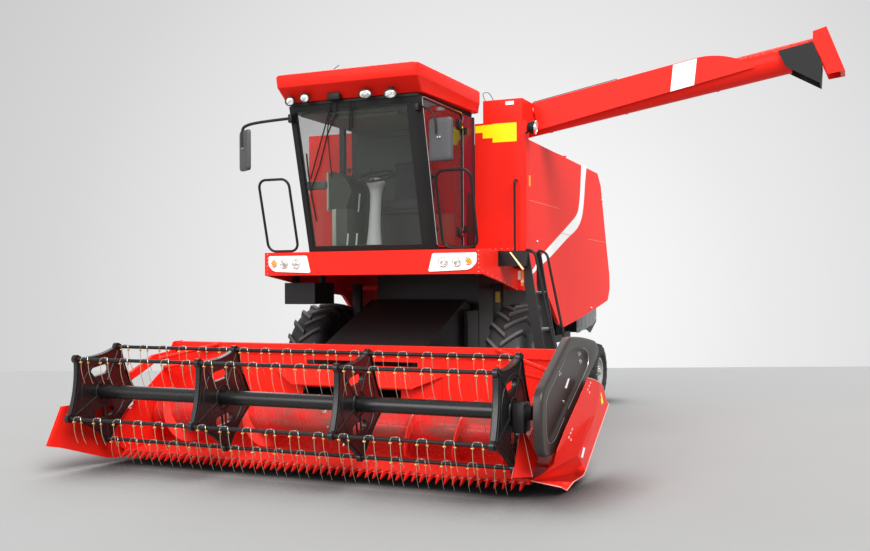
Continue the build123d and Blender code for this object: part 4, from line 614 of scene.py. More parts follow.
guard_form, knife_form, clip_form = forms(3)
GUARDS, GUARD_PITCH, LIP_HALF = 56, 0.0762, 2.149
GUARD_SECTIONS = (  # y, half width, low, high
    (-2.515, 0.020, 0.092, 0.104), (-2.575, 0.019, 0.090, 0.116), (-2.592, 0.016, 0.084, 0.128),
    (-2.630, 0.013, 0.070, 0.122), (-2.668, 0.010, 0.058, 0.100), (-2.700, 0.002, 0.054, 0.062))
GUARD_RING = ((-1, -0.6), (-0.5, -1), (0.5, -1), (1, -0.6), (1, 0.5), (0.4, 1), (-0.4, 1), (-1, 0.5))
KNIFE_TIP, KNIFE_ROOT = -2.648, -2.580
for number in range(GUARDS):
    x = (number - (GUARDS - 1) / 2) * GUARD_PITCH
    rings = []
    for y, wide, low, high in GUARD_SECTIONS:
        mid = (low + high) / 2
        rings.append([at(x + a * wide, y, mid + b * (high - low) / 2) for a, b in GUARD_RING])
    skin(guard_form, rings)
    section = [(x - 0.036, KNIFE_ROOT), (x - 0.007, KNIFE_TIP), (x + 0.007, KNIFE_TIP),
               (x + 0.036, KNIFE_ROOT)]
    skin(knife_form, [[at(a, b, z) for a, b in section] for z in (0.1135, 0.1165)])
    if number % 4 == 1:
        rings = [[at(x + a, y, z + b) for a, b in ((-0.016, 0), (0.016, 0), (0.016, 0.006), (-0.016, 0.006))]
                 for y, z in ((-2.530, 0.106), (-2.570, 0.120), (-2.600, 0.1225), (-2.618, 0.1185))]
        skin(clip_form, rings)
profile_plate(guard_form, ((-2.595, 0.0915), (-2.5385, 0.0915), (-2.5385, 0.1135), (-2.580, 0.1135)),
              -LIP_HALF, LIP_HALF)
piece("guards", guard_form, "red_paint", "table", "cutterbar")
piece("knife", knife_form, "steel", "table")
piece("hold_downs", clip_form, "red_paint", "table")

# Reel arms and their braces: welded box sections that lean forward from a pivot at each end of the
# table's top beam, with the reel's bearing block bolted on their front ends.
def bend(a, b, c, d, steps):
    """Points from b up to c on a Catmull-Rom curve."""
    square, cube = a * 2 - b * 5 + c * 4 - d, b * 3 - a - c * 3 + d
    return [(b * 2 + (c - a) * t + square * t ** 2 + cube * t ** 3) / 2
            for t in (k / steps for k in range(steps))]


def eased(points, steps=6):
    """Smooth line through points."""
    points = [Vector(p) for p in points]
    ends = [points[0] * 2 - points[1]] + points + [points[-1] * 2 - points[-2]]
    spans = zip(ends, ends[1:], ends[2:], ends[3:])
    return [point for span in spans for point in bend(*span, steps)] + [points[-1]]


ARM_SIDE = ((-1.640, 1.150), (-1.735, 1.155), (-1.800, 1.066), (-2.100, 1.042), (-2.170, 1.007),
            (-2.490, 0.874), (-2.885, 0.718), (-2.890, 0.810), (-3.030, 0.810), (-3.030, 0.602),
            (-2.470, 0.792), (-2.130, 0.928), (-2.050, 0.972), (-1.800, 0.990), (-1.700, 1.040),
            (-1.640, 1.072))
arm_form, brace_form, wall_form, bolt_form = forms(4)
for hand in (-1, 1):
    profile_plate(arm_form, ARM_SIDE, hand * 2.180, hand * 2.220)
    for y, z, size in ((-1.690, 1.110, 0.030), (-2.965, 0.750, 0.034), (-2.910, 0.790, 0.010),
                       (-3.012, 0.790, 0.010), (-3.012, 0.710, 0.010)):
        pipe(bolt_form, ((hand * 2.221, y, z), (hand * 2.236, y, z)), size, 6 if size < 0.02 else 18)
break_edges(piece("reel_arm_tubes", arm_form, "red_paint", "reel_arms", "reel_arms"), 0.007)
piece("reel_arm_bolts", bolt_form, "steel", "reel_arms")

# Table frame dressing: braces from the top beam to the end walls, folded lips along the walls'
# upper edges, ribs and tie plates on the back, all welded and painted with the table.
WALL_TOP = ((-2.637, 0.40), (-2.580, 0.500), (-2.447, 0.561), (-2.300, 0.655), (-2.100, 0.800),
            (-1.908, 0.925), (-1.850, 1.040), (-1.808, 1.163))
for hand in (-1, 1):
    for start, end, radius in (((1.560, -1.762, 1.158), (2.150, -2.055, 1.000), 0.020),
                               ((1.560, -1.762, 1.000), (2.145, -1.985, 0.905), 0.018)):
        pipe(brace_form, ((hand * start[0], *start[1:]), (hand * end[0], *end[1:])), radius, 14)
    fold = ((2.149, 0.002), (2.162, 0.002), (2.162, -0.004), (2.149, -0.004))
    skin(wall_form, [[at(hand * x, y, z + lift) for x, lift in fold] for y, z in eased(WALL_TOP, 4)])
    for rib in (0.30, 1.02, 1.42, 1.86):
        if hand * rib > 0.7 or hand * rib < -0.9:
            skin(wall_form, [[at(hand * (rib + a), y, z)
                              for a, y in ((-0.020, -1.7478), (-0.012, -1.757), (0.012, -1.757),
                                           (0.020, -1.7478))] for z in (0.52, 1.070)])
    profile_plate(wall_form, ((-1.776, 1.070), (-1.776, 1.172), (-1.640, 1.172), (-1.640, 1.070)),
                  hand * 2.150, hand * 2.166)
for x in (-2.10, -1.4, -0.50, 0.42, 1.30, 2.05):
    profile_plate(wall_form, ((-1.7785, 1.074), (-1.7785, 1.170), (-1.7735, 1.170), (-1.7735, 1.074)),
                  x - 0.030, x + 0.030)
piece("table_braces", brace_form, "red_paint", "table")
piece("table_lips", wall_form, "red_paint", "table")

# Side panels' finish: a white vinyl flash that runs down the left and right panels, shallow pressed
# creases and three quarter-turn locks.
PANEL_FACE, FILM_NEAR, FILM_FAR = 1.374, 0.0003, 0.0012
flash_left = eased([(2.125, 3.345), (2.081, 3.096), (2.01, 2.834), (1.881, 2.667), (1.485, 2.511),
                    (0.922, 2.314), (0.338, 2.105), (0.02, 1.950), (-0.140, 1.886)])
flash_right = eased([(2.395, 3.345), (2.308, 3.117), (2.234, 2.851), (2.12, 2.640), (1.873, 2.481),
                     (1.382, 2.327), (0.685, 2.094), (0.20, 1.955), (-0.140, 1.845)])
add_finish("white_vinyl", satin((0.82, 0.82, 0.82, 1), 0.28, depth=0.02))
# The creases are coloured a lighter, more orange red than the panels: a painted highlight along each crease.
FINISHES["crease"] = finish("crease_painted_highlight", enamel((0.90, 0.16, 0.10, 1)))
for hand, side in ((1, "left"), (-1, "right")):
    flash_form = bmesh.new()
    for corners in zip(flash_left, flash_left[1:], flash_right[1:], flash_right):
        profile_plate(flash_form, corners, hand * (PANEL_FACE + 0.0004), hand * (PANEL_FACE + 0.0016))
    piece(f"flash_{side}", flash_form, "white_vinyl", "machine")
    crease_form = bmesh.new()
    for run in ([(-0.13, 2.697), (1.05, 2.687)], [(2.45, 2.368), (3.46, 2.356)],
                [(1.12, 2.392), (1.60, 2.380)]):
        rings = [[at(hand * (PANEL_FACE + a), y, z + b)
                  for a, b in ((-0.001, -0.007), (0.0035, 0), (-0.001, 0.007))] for y, z in run]
        skin(crease_form, rings)
    piece(f"creases_{side}", crease_form, "crease", "machine")
    lock_form = bmesh.new()
    for y, z in ((2.60, 1.435), (0.15, 2.25), (3.25, 2.95)):
        profile = [(hand * x, r) for x, r in ((0.0, 0.0005), (0.010, 0.0005), (0.012, 0.016), (0.004, 0.020),
                                              (0.0, 0.020))]
        turned(lock_form, profile, at(hand * PANEL_FACE, y, z), 20, closed=False)
    piece(f"locks_{side}", lock_form, "steel", "machine")

# Plain labels: blank coloured film on the column, the box above it and the ladder's corner.
add_finish("yellow_vinyl", satin((0.90, 0.72, 0.0, 1), 0.35, depth=0.02))
add_finish("orange_vinyl", satin((0.85, 0.32, 0.03, 1), 0.35, depth=0.02))
COLUMN_FACE = -0.223


def oblong(a0, a1, b0, b1):
    """Corners of a rectangle."""
    return (a0, b0), (a1, b0), (a1, b1), (a0, b1)


def facing_plate(form, outline, y0, y1):
    """Solid between two planes across Y, from an outline of (x, z)."""
    skin(form, [[at(x, y, z) for x, z in outline] for y in (y0, y1)])


for name, surface, marks in (
    ("column_label", "yellow_vinyl",
     ((0.778, 0.866, 3.466, 3.546), (0.866, 0.982, 3.400, 3.550), (0.982, 1.263, 3.348, 3.556))),
    ("box_label", "white_vinyl", ((1.137, 1.233, 3.755, 3.795),)),
):
    label_form = bmesh.new()
    for mark in marks:
        facing_plate(label_form, oblong(*mark), COLUMN_FACE - FILM_NEAR, COLUMN_FACE - FILM_FAR)
    piece(name, label_form, surface, "machine")
label_form = bmesh.new()
for mark in ((-0.140, -0.080, 2.855, 2.975), (-0.10, -0.03, 1.76, 1.90)):
    profile_plate(label_form, oblong(*mark), PANEL_FACE + FILM_NEAR, PANEL_FACE + FILM_FAR)
piece("corner_markers", label_form, "orange_vinyl", "machine")

# Seams and rivets: the columns and the fascia are folded sheets, seamed along their corners and
# fixed with zinc-plated button rivets.
rivet_form = bmesh.new()


def drum_shape(form, place, out, profile, steps=28):
    """Round form about out; profile is (along, radius)."""
    out = Vector(out).normalized()
    side_way = out.orthogonal().normalized()
    up_way = out.cross(side_way)
    skin(form, [[place + out * h + side_way * r * cos(tau * k / steps) + up_way * r * sin(tau * k / steps)
                 for k in range(steps)] for h, r in profile])


def button(form, place, out, radius):
    """Low round head on a surface that faces out."""
    drum_shape(form, place, out, ((0, radius), (radius * 0.35, radius * 0.85), (radius * 0.55, radius * 0.4)),
               10)


FASCIA_FRONT = -1.356
for k in range(6):
    for hand in (1, -1):
        button(rivet_form, at(hand * 1.235, FASCIA_FRONT, 1.90 + 0.042 * k), (0, -1, 0), 0.006)
for k in range(9):
    run = k / 8
    y, z = -1.32 + run * 1.05, 1.905 - run * 0.185
    for hand in (-1, 1):
        button(rivet_form, at(hand * 1.270, y, z), (hand, 0, 0), 0.007)
for k in range(7):
    for hand in (1, -1):
        button(rivet_form, at(hand * (0.80 + 0.07 * k), COLUMN_FACE, 2.165), (0, -1, 0), 0.006)
piece("rivets", rivet_form, "steel", "machine")

# Cab roof: one red moulded shell with a soft rounded edge and a pressed step round its crown.  Under
# it are a black rubber seal and the wiper's recess, and on it a short antenna.
def rounded_ring(half, front, rear, radius, z, steps=7):
    """Level ring of a rounded rectangle."""
    ring = []
    for corner_x, corner_y, start in ((half - radius, rear - radius, 0), (-half + radius, rear - radius, 90),
                                      (-half + radius, front + radius, 180),
                                      (half - radius, front + radius, 270)):
        for k in range(steps):
            angle = radians(start + 90 * k / (steps - 1))
            ring.append(at(corner_x + radius * cos(angle), corner_y + radius * sin(angle), z))
    return ring


# Each level of the roof: height front and rear, half width front and rear, front, rear, corner.
ROOF_LEVELS = (
    (3.672, 3.698, 0.770, 0.786, -1.690, -0.150, 0.040), (3.677, 3.704, 0.780, 0.797, -1.706, -0.142, 0.046),
    (3.800, 3.786, 0.796, 0.806, -1.846, -0.130, 0.050), (3.807, 3.793, 0.800, 0.810, -1.858, -0.126, 0.056),
    (3.816, 3.803, 0.802, 0.812, -1.862, -0.124, 0.058), (3.914, 3.926, 0.812, 0.814, -1.872, -0.122, 0.060),
    (3.932, 3.943, 0.806, 0.806, -1.866, -0.130, 0.060), (3.943, 3.954, 0.788, 0.790, -1.846, -0.150, 0.062),
    (3.949, 3.961, 0.758, 0.758, -1.810, -0.186, 0.070), (3.953, 3.965, 0.744, 0.744, -1.790, -0.200, 0.070),
    (3.966, 3.974, 0.700, 0.704, -1.720, -0.250, 0.090), (3.975, 3.980, 0.600, 0.604, -1.580, -0.350, 0.100),
)


def roof_ring(front_level, rear_level, front_half, rear_half, front, rear, radius):
    """Ring that rises and widens evenly from the visor to the rear."""
    ring = []
    for point in rounded_ring(1.0, front, rear, radius, 0):
        run = (point.y - axle.y - front) / (rear - front)
        half = front_half + (rear_half - front_half) * run
        x = point.x - axle.x
        ring.append(at(x + (half - 1.0) * (1 if x > 0 else -1), point.y - axle.y,
                       front_level + (rear_level - front_level) * run))
    return ring


roof_form = bmesh.new()
skin(roof_form, [roof_ring(*level) for level in ROOF_LEVELS])
piece("roof_shell", roof_form, "red_paint", "machine", "cab_roof", crease=32)
seal_form = bmesh.new()
skin(seal_form, [rounded_ring(0.735, -1.700, -0.236, 0.03, z) for z in (3.6402, 3.662)])
skin(seal_form, [rounded_ring(0.735, front, -0.200, 0.03, z)
                 for z, front in ((3.655, -1.3), (3.700, -1.3), (3.715, -1.3))])
skin(seal_form, [[at(x, y, z) for y, z in ((-1.840, 3.806), (-1.780, 3.752), (-1.740, 3.720), (-1.700, 3.720),
                                           (-1.700, 3.80))] for x in (-0.300, -0.025)])
pipe(seal_form, ((-0.475, -1.300, 3.96), (-0.470, -1.270, 4.06), (-0.455, -1.225, 4.11),
                 (-0.430, -1.18, 4.150)), 0.004)
pipe(seal_form, ((-0.475, -1.300, 3.95), (-0.4745, -1.298, 4.00)), 0.012, 12)
piece("roof_seal", seal_form, "rubber", "machine")

# Work lamps: round black housings with chromed reflectors behind ribbed glass, bolted under the
# visor and on a bracket at the column.  The reflectors' glints are painted into the glass, which glows
# faintly: painted reflection and painted glow.
FINISHES["chrome"] = finish("lamp_chrome", satin((0.80, 0.80, 0.80, 1), 0.12, 1.0, depth=0.0))


def lens_finish(wire):
    """Ribbed glass with the reflector's glints painted in as pale blotches, which glow faintly: painted
    reflection and painted glow.
    """
    ribs = wire.add("TexWave", {"bands_direction": "X"}, {"Vector": wire.add("TexCoord", out=3),
                                                          "Scale": 38.0, "Distortion": 0.4})
    bump = wire.add("Bump", None, {"Strength": 0.35, "Distance": 0.002, "Height": ribs})
    painted_glints = wire.noise(26, 3).ramp((0.46, (0.36, 0.34, 0.30, 1)), (0.56, (0.86, 0.84, 0.80, 1)))
    return {"Base Color": painted_glints, "Roughness": 0.12, "Metallic": 0.25, "Coat Weight": 1.0, "Normal": bump,
            "Emission Color": painted_glints, "Emission Strength": 0.05}


FINISHES["lens"] = finish("ribbed_lens", lens_finish)
lamp_form, lens_form, bezel_form, rim_form = forms(4)
LAMP_OUT, LAMP_ROW = (0.22, -1.0, -0.16), -1.790
LAMP_PARTS = ((lamp_form, ((-0.045, 0.012), (-0.038, 0.030), (-0.012, 0.044), (0.014, 0.0475),
                           (0.020, 0.0475))), (rim_form, ((0.010, 0.047), (0.022, 0.049), (0.029, 0.047),
                                                          (0.030, 0.043), (0.030, 0.0395), (0.018, 0.038))),
              (lens_form, ((0.016, 0.0395), (0.024, 0.0395), (0.030, 0.030), (0.032, 0.013),
                           (0.0325, 0.002))), (bezel_form, ((0.031, 0.016), (0.0345, 0.014),
                                                            (0.0350, 0.002))))
for x, z, wide in ((-0.665, 3.672, 1.12), (-0.490, 3.692, 1.12), (0.206, 3.678, 1.55), (0.482, 3.658, 1.55)):
    place = at(x, LAMP_ROW, z)
    for form, profile in LAMP_PARTS:
        shape = bmesh.new()
        drum_shape(shape, Vector(), LAMP_OUT, profile)
        bmesh.ops.scale(shape, vec=(wide, 1, 1), verts=shape.verts)
        bmesh.ops.translate(shape, vec=place, verts=shape.verts)
        made = bpy.data.meshes.new("lamp")
        shape.to_mesh(made)
        form.from_mesh(made)
        shape.free()
        bpy.data.meshes.remove(made)
    wire_along(lamp_form, [place + Vector((0, 0.022, 0.030)), place + Vector((0, 0.030, 0.100))], 0.011, 10)
    wire_along(lamp_form, [place + Vector((-0.022, 0.030, 0.072)), place + Vector((0.022, 0.030, 0.072))],
               0.014, 8)
COLUMN_LAMP, LAMP_FACE = at(1.470, -0.265, 3.480), Vector((0.93, 0.12, -0.12)).normalized()
drum_shape(lamp_form, COLUMN_LAMP, LAMP_FACE, ((-0.070, 0.012), (-0.062, 0.045), (-0.020, 0.068),
                                               (0.016, 0.072), (0.022, 0.073)))
drum_shape(bezel_form, COLUMN_LAMP, LAMP_FACE, ((0.018, 0.074), (0.034, 0.074), (0.036, 0.070),
                                                (0.036, 0.064), (0.030, 0.063)))
drum_shape(lens_form, COLUMN_LAMP, LAMP_FACE, ((0.020, 0.0635), (0.030, 0.0635), (0.038, 0.044),
                                               (0.041, 0.020), (0.042, 0.003)))
wire_along(lamp_form, [COLUMN_LAMP - LAMP_FACE * 0.05, at(1.400, -0.235, 3.440), at(1.374, -0.230, 3.425)],
           0.011, 10)
piece("lamp_housings", lamp_form, "black_plastic", "machine", "work_lamps")
piece("lamp_rims", rim_form, "black_plastic", "machine")
piece("lamp_bezels", bezel_form, "chrome", "machine")
piece("lamp_lenses", lens_form, "lens", "machine")

# Headlamp clusters: white moulded panels let into the fascia, each with two round headlamps and
# an amber indicator in chromed rings.
FINISHES["amber"] = finish("amber_lens", satin((0.85, 0.28, 0.02, 1), 0.15, depth=0.02))
cluster_form, ring_form, glass_form, amber_form = forms(4)
CLUSTER = ((0.735, 2.083), (0.750, 2.092), (1.205, 2.092), (1.216, 2.081), (1.216, 2.005), (1.205, 1.975),
           (1.165, 1.937), (1.120, 1.920), (0.705, 1.904), (0.692, 1.915))
middle = Vector((0.955, 0, 1.995))
for hand in (-1, 1):
    rings = []
    for depth, inset in ((-0.001, 1.0), (-0.010, 1.0), (-0.014, 0.985)):
        rings.append([at(hand * (middle.x + (x - middle.x) * inset), FASCIA_FRONT + depth,
                         middle.z + (z - middle.z) * inset) for x, z in CLUSTER])
    skin(cluster_form, rings)
    for x, z, size, out_form in ((0.862, 2.002, 0.046, glass_form), (1.010, 2.004, 0.044, glass_form),
                                 (1.137, 2.010, 0.034, amber_form)):
        place = at(hand * x, FASCIA_FRONT - 0.013, z)
        drum_shape(ring_form, place, (0, -1, 0), ((0, size + 0.010), (0.008, size + 0.008),
                                                  (0.011, size + 0.003), (0.006, size)))
        drum_shape(out_form, place, (0, -1, 0), ((0, size), (0.005, size), (0.008, size * 0.7),
                                                 (0.0092, size * 0.3), (0.0093, 0.002)))
piece("lamp_panels", cluster_form, "lamp_white", "machine", "headlamps")
piece("headlamp_rings", ring_form, "chrome", "machine")
piece("headlamp_glasses", glass_form, "lens", "machine")
piece("indicator_glasses", amber_form, "amber", "machine")

# Cab lining: moulded panels over the rear wall, the ceiling and the floor, screwed to the frame.
# The part of the rear wall beside the door is red sheet, coloured dark red as painted shade.
FINISHES["lining"] = finish("moulded_lining", satin((0.070, 0.078, 0.062, 1), 0.62, grain=150, depth=0.3))
FINISHES["red_in_painted_shade"] = finish("shaded_red", enamel((0.30, 0.020, 0.030, 1), 0.05))
lining_form, sheet_form = forms(2)


def rounded_plate(form, x0, x1, y0, y1, z0, z1, ease=0.012):
    """Moulded box whose long edges are eased on every side."""
    middle = Vector(((x0 + x1) / 2, (y0 + y1) / 2, (z0 + z1) / 2))
    half = Vector(((x1 - x0) / 2, (y1 - y0) / 2, (z1 - z0) / 2))
    ease = min(ease, min(half) * 0.9)
    levels = ((-half.z, ease), (-half.z + ease * 0.3, ease * 0.3), (-half.z + ease, 0), (half.z - ease, 0),
              (half.z - ease * 0.3, ease * 0.3), (half.z, ease))
    rings = []
    for level, inset in levels:
        ring = rounded_ring(half.x - inset, -half.y + inset, half.y - inset, max(ease * 0.9, 0.001),
                            middle.z + level, 4)
        rings.append([point + Vector((middle.x, middle.y, 0)) for point in ring])
    skin(form, rings)


for panel in (
    (-0.690, 0.330, -0.3200, -0.2905, 2.19, 2.88),
    (-0.690, 0.330, -0.3100, -0.2905, 2.88, 3.57),
    (-0.520, 0.300, -0.3280, -0.312, 2.98, 3.48, 0.03),
    (-0.688, 0.688, -1.560, -0.300, 3.548, 3.579, 0.02),
    (-0.420, 0.420, -1.500, -0.820, 3.500, 3.552, 0.03),
    (-0.688, 0.688, -1.200, -0.300, 2.1855, 2.200, 0.006),
    (-0.560, 0.640, -0.480, -0.320, 2.200, 2.560, 0.03),
):
    rounded_plate(lining_form, *panel)
rounded_plate(sheet_form, 0.332, 0.690, -0.3050, -0.2905, 2.19, 3.57, 0.004)
piece("cab_lining", lining_form, "lining", "machine")
piece("rear_sheet", sheet_form, "red_in_painted_shade", "machine")

# Seat: two upholstered pads on a suspension box.  Each pad is foam in a sewn cloth cover with
# sunk channels, glued to a pan.
PAD_SWELL, PAD_PRESSURE, PAD_FRAMES, CHANNEL_DEPTH = 0.012, 4.0, 20, 0.006


def sewn_pad(name, low, high, lean):
    """Foam pad: a rounded block that is blown up as cloth inside its seams."""
    form = bmesh.new()
    rounded_plate(form, low[0], high[0], low[1], high[1], low[2], high[2], 0.030)
    bmesh.ops.recalc_face_normals(form, faces=form.faces)
    mesh = bpy.data.meshes.new(name)
    form.to_mesh(mesh)
    form.free()
    made = bpy.data.objects.new(name, mesh)
    bpy.context.scene.collection.objects.link(made)
    remesh = made.modifiers.new("even", "REMESH")
    remesh.mode, remesh.voxel_size = "VOXEL", 0.006
    start = bpy.data.meshes.new_from_object(made.evaluated_get(bpy.context.evaluated_depsgraph_get()))
    made.modifiers.remove(remesh)
    made.data = start
    rest_places = [vertex.co.copy() for vertex in start.vertices]
    cloth = made.modifiers.new("cloth", "CLOTH")
    cloth.settings.use_pressure, cloth.settings.uniform_pressure_force = True, PAD_PRESSURE
    cloth.settings.effector_weights.gravity = 0
    cloth.settings.quality = 5
    pinned = made.vertex_groups.new(name="pan")
    pinned.add([v.index for v in start.vertices if v.co.z < low[2] + 0.006], 1.0, "REPLACE")
    cloth.settings.vertex_group_mass = "pan"
    for frame_number in range(1, PAD_FRAMES + 1):
        bpy.context.scene.frame_set(frame_number)
    swollen = bpy.data.meshes.new_from_object(made.evaluated_get(bpy.context.evaluated_depsgraph_get()))
    made.modifiers.remove(cloth)
    for vertex, rest in zip(swollen.vertices, rest_places):
        moved = vertex.co - rest
        if moved.length > PAD_SWELL:
            vertex.co = rest + moved.normalized() * PAD_SWELL
    made.data = swollen
    bpy.context.scene.frame_set(1)
    middle = at((low[0] + high[0]) / 2, high[1], low[2])
    for vertex in made.data.vertices:
        run = vertex.co - middle
        channel = CHANNEL_DEPTH * max(0.0, cos(tau * 2.5 * run.x / (high[0] - low[0]))) ** 6
        if lean:
            ahead = vertex.co.y - axle.y < (low[1] + high[1]) / 2
            vertex.co.y += lean * (vertex.co.z - low[2]) ** 2 + (channel if ahead else 0)
        else:
            vertex.co.z -= channel if vertex.co.z > (low[2] + high[2]) / 2 else 0
    made.data.shade_smooth()
    made.data.materials.clear()
    made.data.materials.append(FINISHES["seat_cover"])
    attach(made, "machine")
    return made


seat_low, seat_high = (corner - Vector((axle.x, axle.y, 0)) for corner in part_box("seat_cushions"))
squab = sewn_pad("seat_squab", (seat_low.x + 0.012, seat_low.y + 0.012, seat_low.z + 0.002),
                 (seat_high.x - 0.012, seat_low.y + 0.378, seat_low.z + 0.108), 0)
back = sewn_pad("seat_back", (seat_low.x + 0.012, seat_low.y + 0.400, seat_low.z + 0.035),
                (seat_high.x - 0.012, seat_high.y - 0.012, seat_high.z - 0.012), 0.05)
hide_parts("seat_cushions")
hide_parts("seat_cushions")

# Steering column: a moulded two-piece shroud on a steel tube, with a three-spoke wheel, and the
# control console beside the seat on its own post.
add_finish("pale_plastic", satin((0.42, 0.45, 0.44, 1), 0.42, grain=200))
FINISHES["green_white"] = finish("post_enamel", satin((0.46, 0.58, 0.48, 1), 0.35))
shroud_form, wheel_form, post_form = forms(3)
COLUMN_X, WHEEL_RADIUS, WHEEL_GRIP = -0.060, 0.195, 0.014
shroud = []
for z, half_x, half_y, y, x in ((2.200, 0.085, 0.080, -1.090, 0.0), (2.240, 0.080, 0.076, -1.088, 0.0),
                                (2.400, 0.064, 0.066, -1.078, 0.0), (2.600, 0.060, 0.062, -1.064, 0.004),
                                (2.740, 0.062, 0.064, -1.052, 0.006), (2.820, 0.080, 0.078, -1.045, 0.004),
                                (2.866, 0.104, 0.094, -1.042, 0.002), (2.890, 0.100, 0.090, -1.040, 0.0),
                                (2.925, 0.040, 0.045, -1.034, 0.0)):
    shroud.append([at(COLUMN_X + x + half_x * cos(tau * k / 24), y + half_y * sin(tau * k / 24), z)
                   for k in range(24)])
skin(shroud_form, shroud)
wheel_middle = at(COLUMN_X, -1.020, 2.945)
tilt = Matrix.Rotation(radians(22), 3, "X")
rim_line = [wheel_middle + tilt @ Vector((WHEEL_RADIUS * cos(tau * k / 48), WHEEL_RADIUS * sin(tau * k / 48),
                                          0)) for k in range(48)]
skin(wheel_form,
     [[centre + (tilt @ Vector((cos(tau * k / 48) * WHEEL_GRIP * cos(tau * s / 8),
                                sin(tau * k / 48) * WHEEL_GRIP * cos(tau * s / 8),
                                WHEEL_GRIP * sin(tau * s / 8)))) for s in range(8)]
      for k, centre in enumerate(rim_line)], closed_run=True)
for turn in (30, 150, 270):
    wire_along(wheel_form, [wheel_middle + tilt @ Vector((r * cos(radians(turn)), r * sin(radians(turn)),
                                                          -0.010 * (1 - r / WHEEL_RADIUS)))
                            for r in (0.02, 0.08, 0.14, 0.19)], 0.010, 8)
drum_shape(wheel_form, wheel_middle, tilt @ Vector((0, 0, 1)),
           ((-0.030, 0.040), (-0.005, 0.044), (0.006, 0.040), (0.010, 0.028)))
wire_along(wheel_form, [wheel_middle + tilt @ Vector((-0.12, 0.10, 0.012)),
                        wheel_middle + tilt @ Vector((-0.12, 0.10, 0.050))], 0.016, 10)
piece("column_shroud", shroud_form, "pale_plastic", "machine", "steering_column", crease=60)
piece("steering_wheel", wheel_form, "black_plastic", "machine", crease=60)
console_form = bmesh.new()
skin(console_form, [[at(x * w + dx, y, z) for x, z in ((-0.69, 2.625), (-0.69, 3.02), (-0.655, 3.035),
                                                       (-0.50, 2.962), (-0.47, 2.94), (-0.412, 2.835),
                                                       (-0.408, 2.80), (-0.47, 2.64), (-0.485, 2.62),
                                                       (-0.68, 2.615))]
                    for y, w, dx in ((-0.950, 0.97, -0.016), (-0.935, 1, 0), (-0.560, 1, 0),
                                     (-0.545, 0.97, -0.016))])
rounded_plate(console_form, -0.560, -0.420, -1.040, -0.600, 2.19, 2.62, 0.02)
rounded_plate(console_form, -0.760, -0.470, -1.420, -1.360, 2.790, 2.880, 0.02)
for x, y, lean in ((-0.475, -0.90, 0.02), (-0.440, -0.80, 0.035), (-0.300, -0.760, 0.03)):
    pipe(console_form, ((x, y, 2.80), (x + lean, y - 0.02, 3.02)), 0.007, 8)
    drum_shape(console_form, at(x + lean, y - 0.02, 3.01), (0, 0, 1),
               ((0, 0.010), (0.012, 0.022), (0.042, 0.024), (0.056, 0.012)))
piece("control_console", console_form, "lining", "machine")
rounded_plate(post_form, -0.650, -0.585, -0.960, -0.900, 2.19, 2.615, 0.01)
rounded_plate(post_form, -0.716, -0.692, -0.960, -0.900, 2.60, 3.03, 0.008)
for x, y0, z0 in ((-0.33, -0.90, 2.78), (-0.25, -1.12, 2.33), (-0.36, -1.12, 2.33)):
    pipe(post_form, ((x, y0, z0), (x - 0.02, y0, z0 - 0.20)), 0.010, 8)
piece("console_post", post_form, "green_white", "machine")

# Windscreen wiper: a motor under the visor drives two parallel arms and a blade, all of black
# steel strip, that rest along the glass.
wiper_form = bmesh.new()


def on_glass(x, z, off=0.020):
    """Place ahead of the windscreen, which leans forward as it rises."""
    return at(x, -1.262 - 0.400 * (z - 2.111) / 1.529 - off, z)


for line, radius in (
    (((-0.237, 3.66), (-0.36, 3.40), (-0.50, 3.12), (-0.605, 2.90)), 0.0075),
    (((-0.172, 3.66), (-0.215, 3.52), (-0.335, 3.34), (-0.48, 3.02), (-0.600, 2.82)), 0.0085),
    (((-0.235, 3.66), (-0.330, 3.38), (-0.345, 3.10), (-0.350, 2.90)), 0.006),
    (((-0.020, 3.64), (-0.065, 3.44), (-0.075, 3.36)), 0.008),
    (((0.015, 3.64), (-0.025, 3.46), (-0.035, 3.38)), 0.007),
):
    wire_along(wiper_form, [on_glass(x, z) for x, z in line], radius, 6)
wire_along(wiper_form, [on_glass(-0.622, 3.16, 0.010), on_glass(-0.630, 2.95, 0.012),
                        on_glass(-0.628, 2.72, 0.012), on_glass(-0.610, 2.46, 0.010)], 0.009, 6)
rounded_plate(wiper_form, -0.245, -0.100, -1.780, -1.700, 3.655, 3.730, 0.01)
piece("wiper", wiper_form, "black_plastic", "machine")

# Door: one pane of glass in a thin aluminium trim, hung on two clamps at its rear edge, with a
# pull handle and a lock at the front.
door_form, clamp_form, stud_form = forms(3)
DOOR_X, DOOR_TRIM = 0.772, 0.017
DOOR_LINE = [(-0.612, 2.165), (-1.300, 2.165), (-1.345, 2.180), (-1.700, 3.600), (-1.690, 3.622),
             (-1.650, 3.628), (-0.660, 3.628), (-0.620, 3.600)]
inner = [(y + (DOOR_TRIM if y < -1.2 else -DOOR_TRIM), z + (DOOR_TRIM if z < 2.9 else -DOOR_TRIM))
         for y, z in DOOR_LINE]
x0, x1 = DOOR_X - 0.010, DOOR_X + 0.012
skin(door_form, [[at(x, y, z) for x, (y, z) in ((x0, o), (x1, o), (x1, i), (x0, i))]
                 for o, i in zip(DOOR_LINE, inner)], closed_run=True)
for z in (2.335, 3.492):
    rounded_plate(clamp_form, DOOR_X - 0.008, DOOR_X + 0.030, -0.740, -0.640, z - 0.055, z + 0.055, 0.012)
    for dz in (-0.028, 0.028):
        pipe(stud_form, ((DOOR_X + 0.026, -0.690, z + dz), (DOOR_X + 0.036, -0.690, z + dz)), 0.014, 6)
wire_along(clamp_form, eased([at(DOOR_X + 0.010, -1.480, 2.86), at(DOOR_X + 0.045, -1.465, 2.862),
                              at(DOOR_X + 0.048, -1.400, 2.862), at(DOOR_X + 0.012, -1.385, 2.862)], 4),
           0.011, 8)
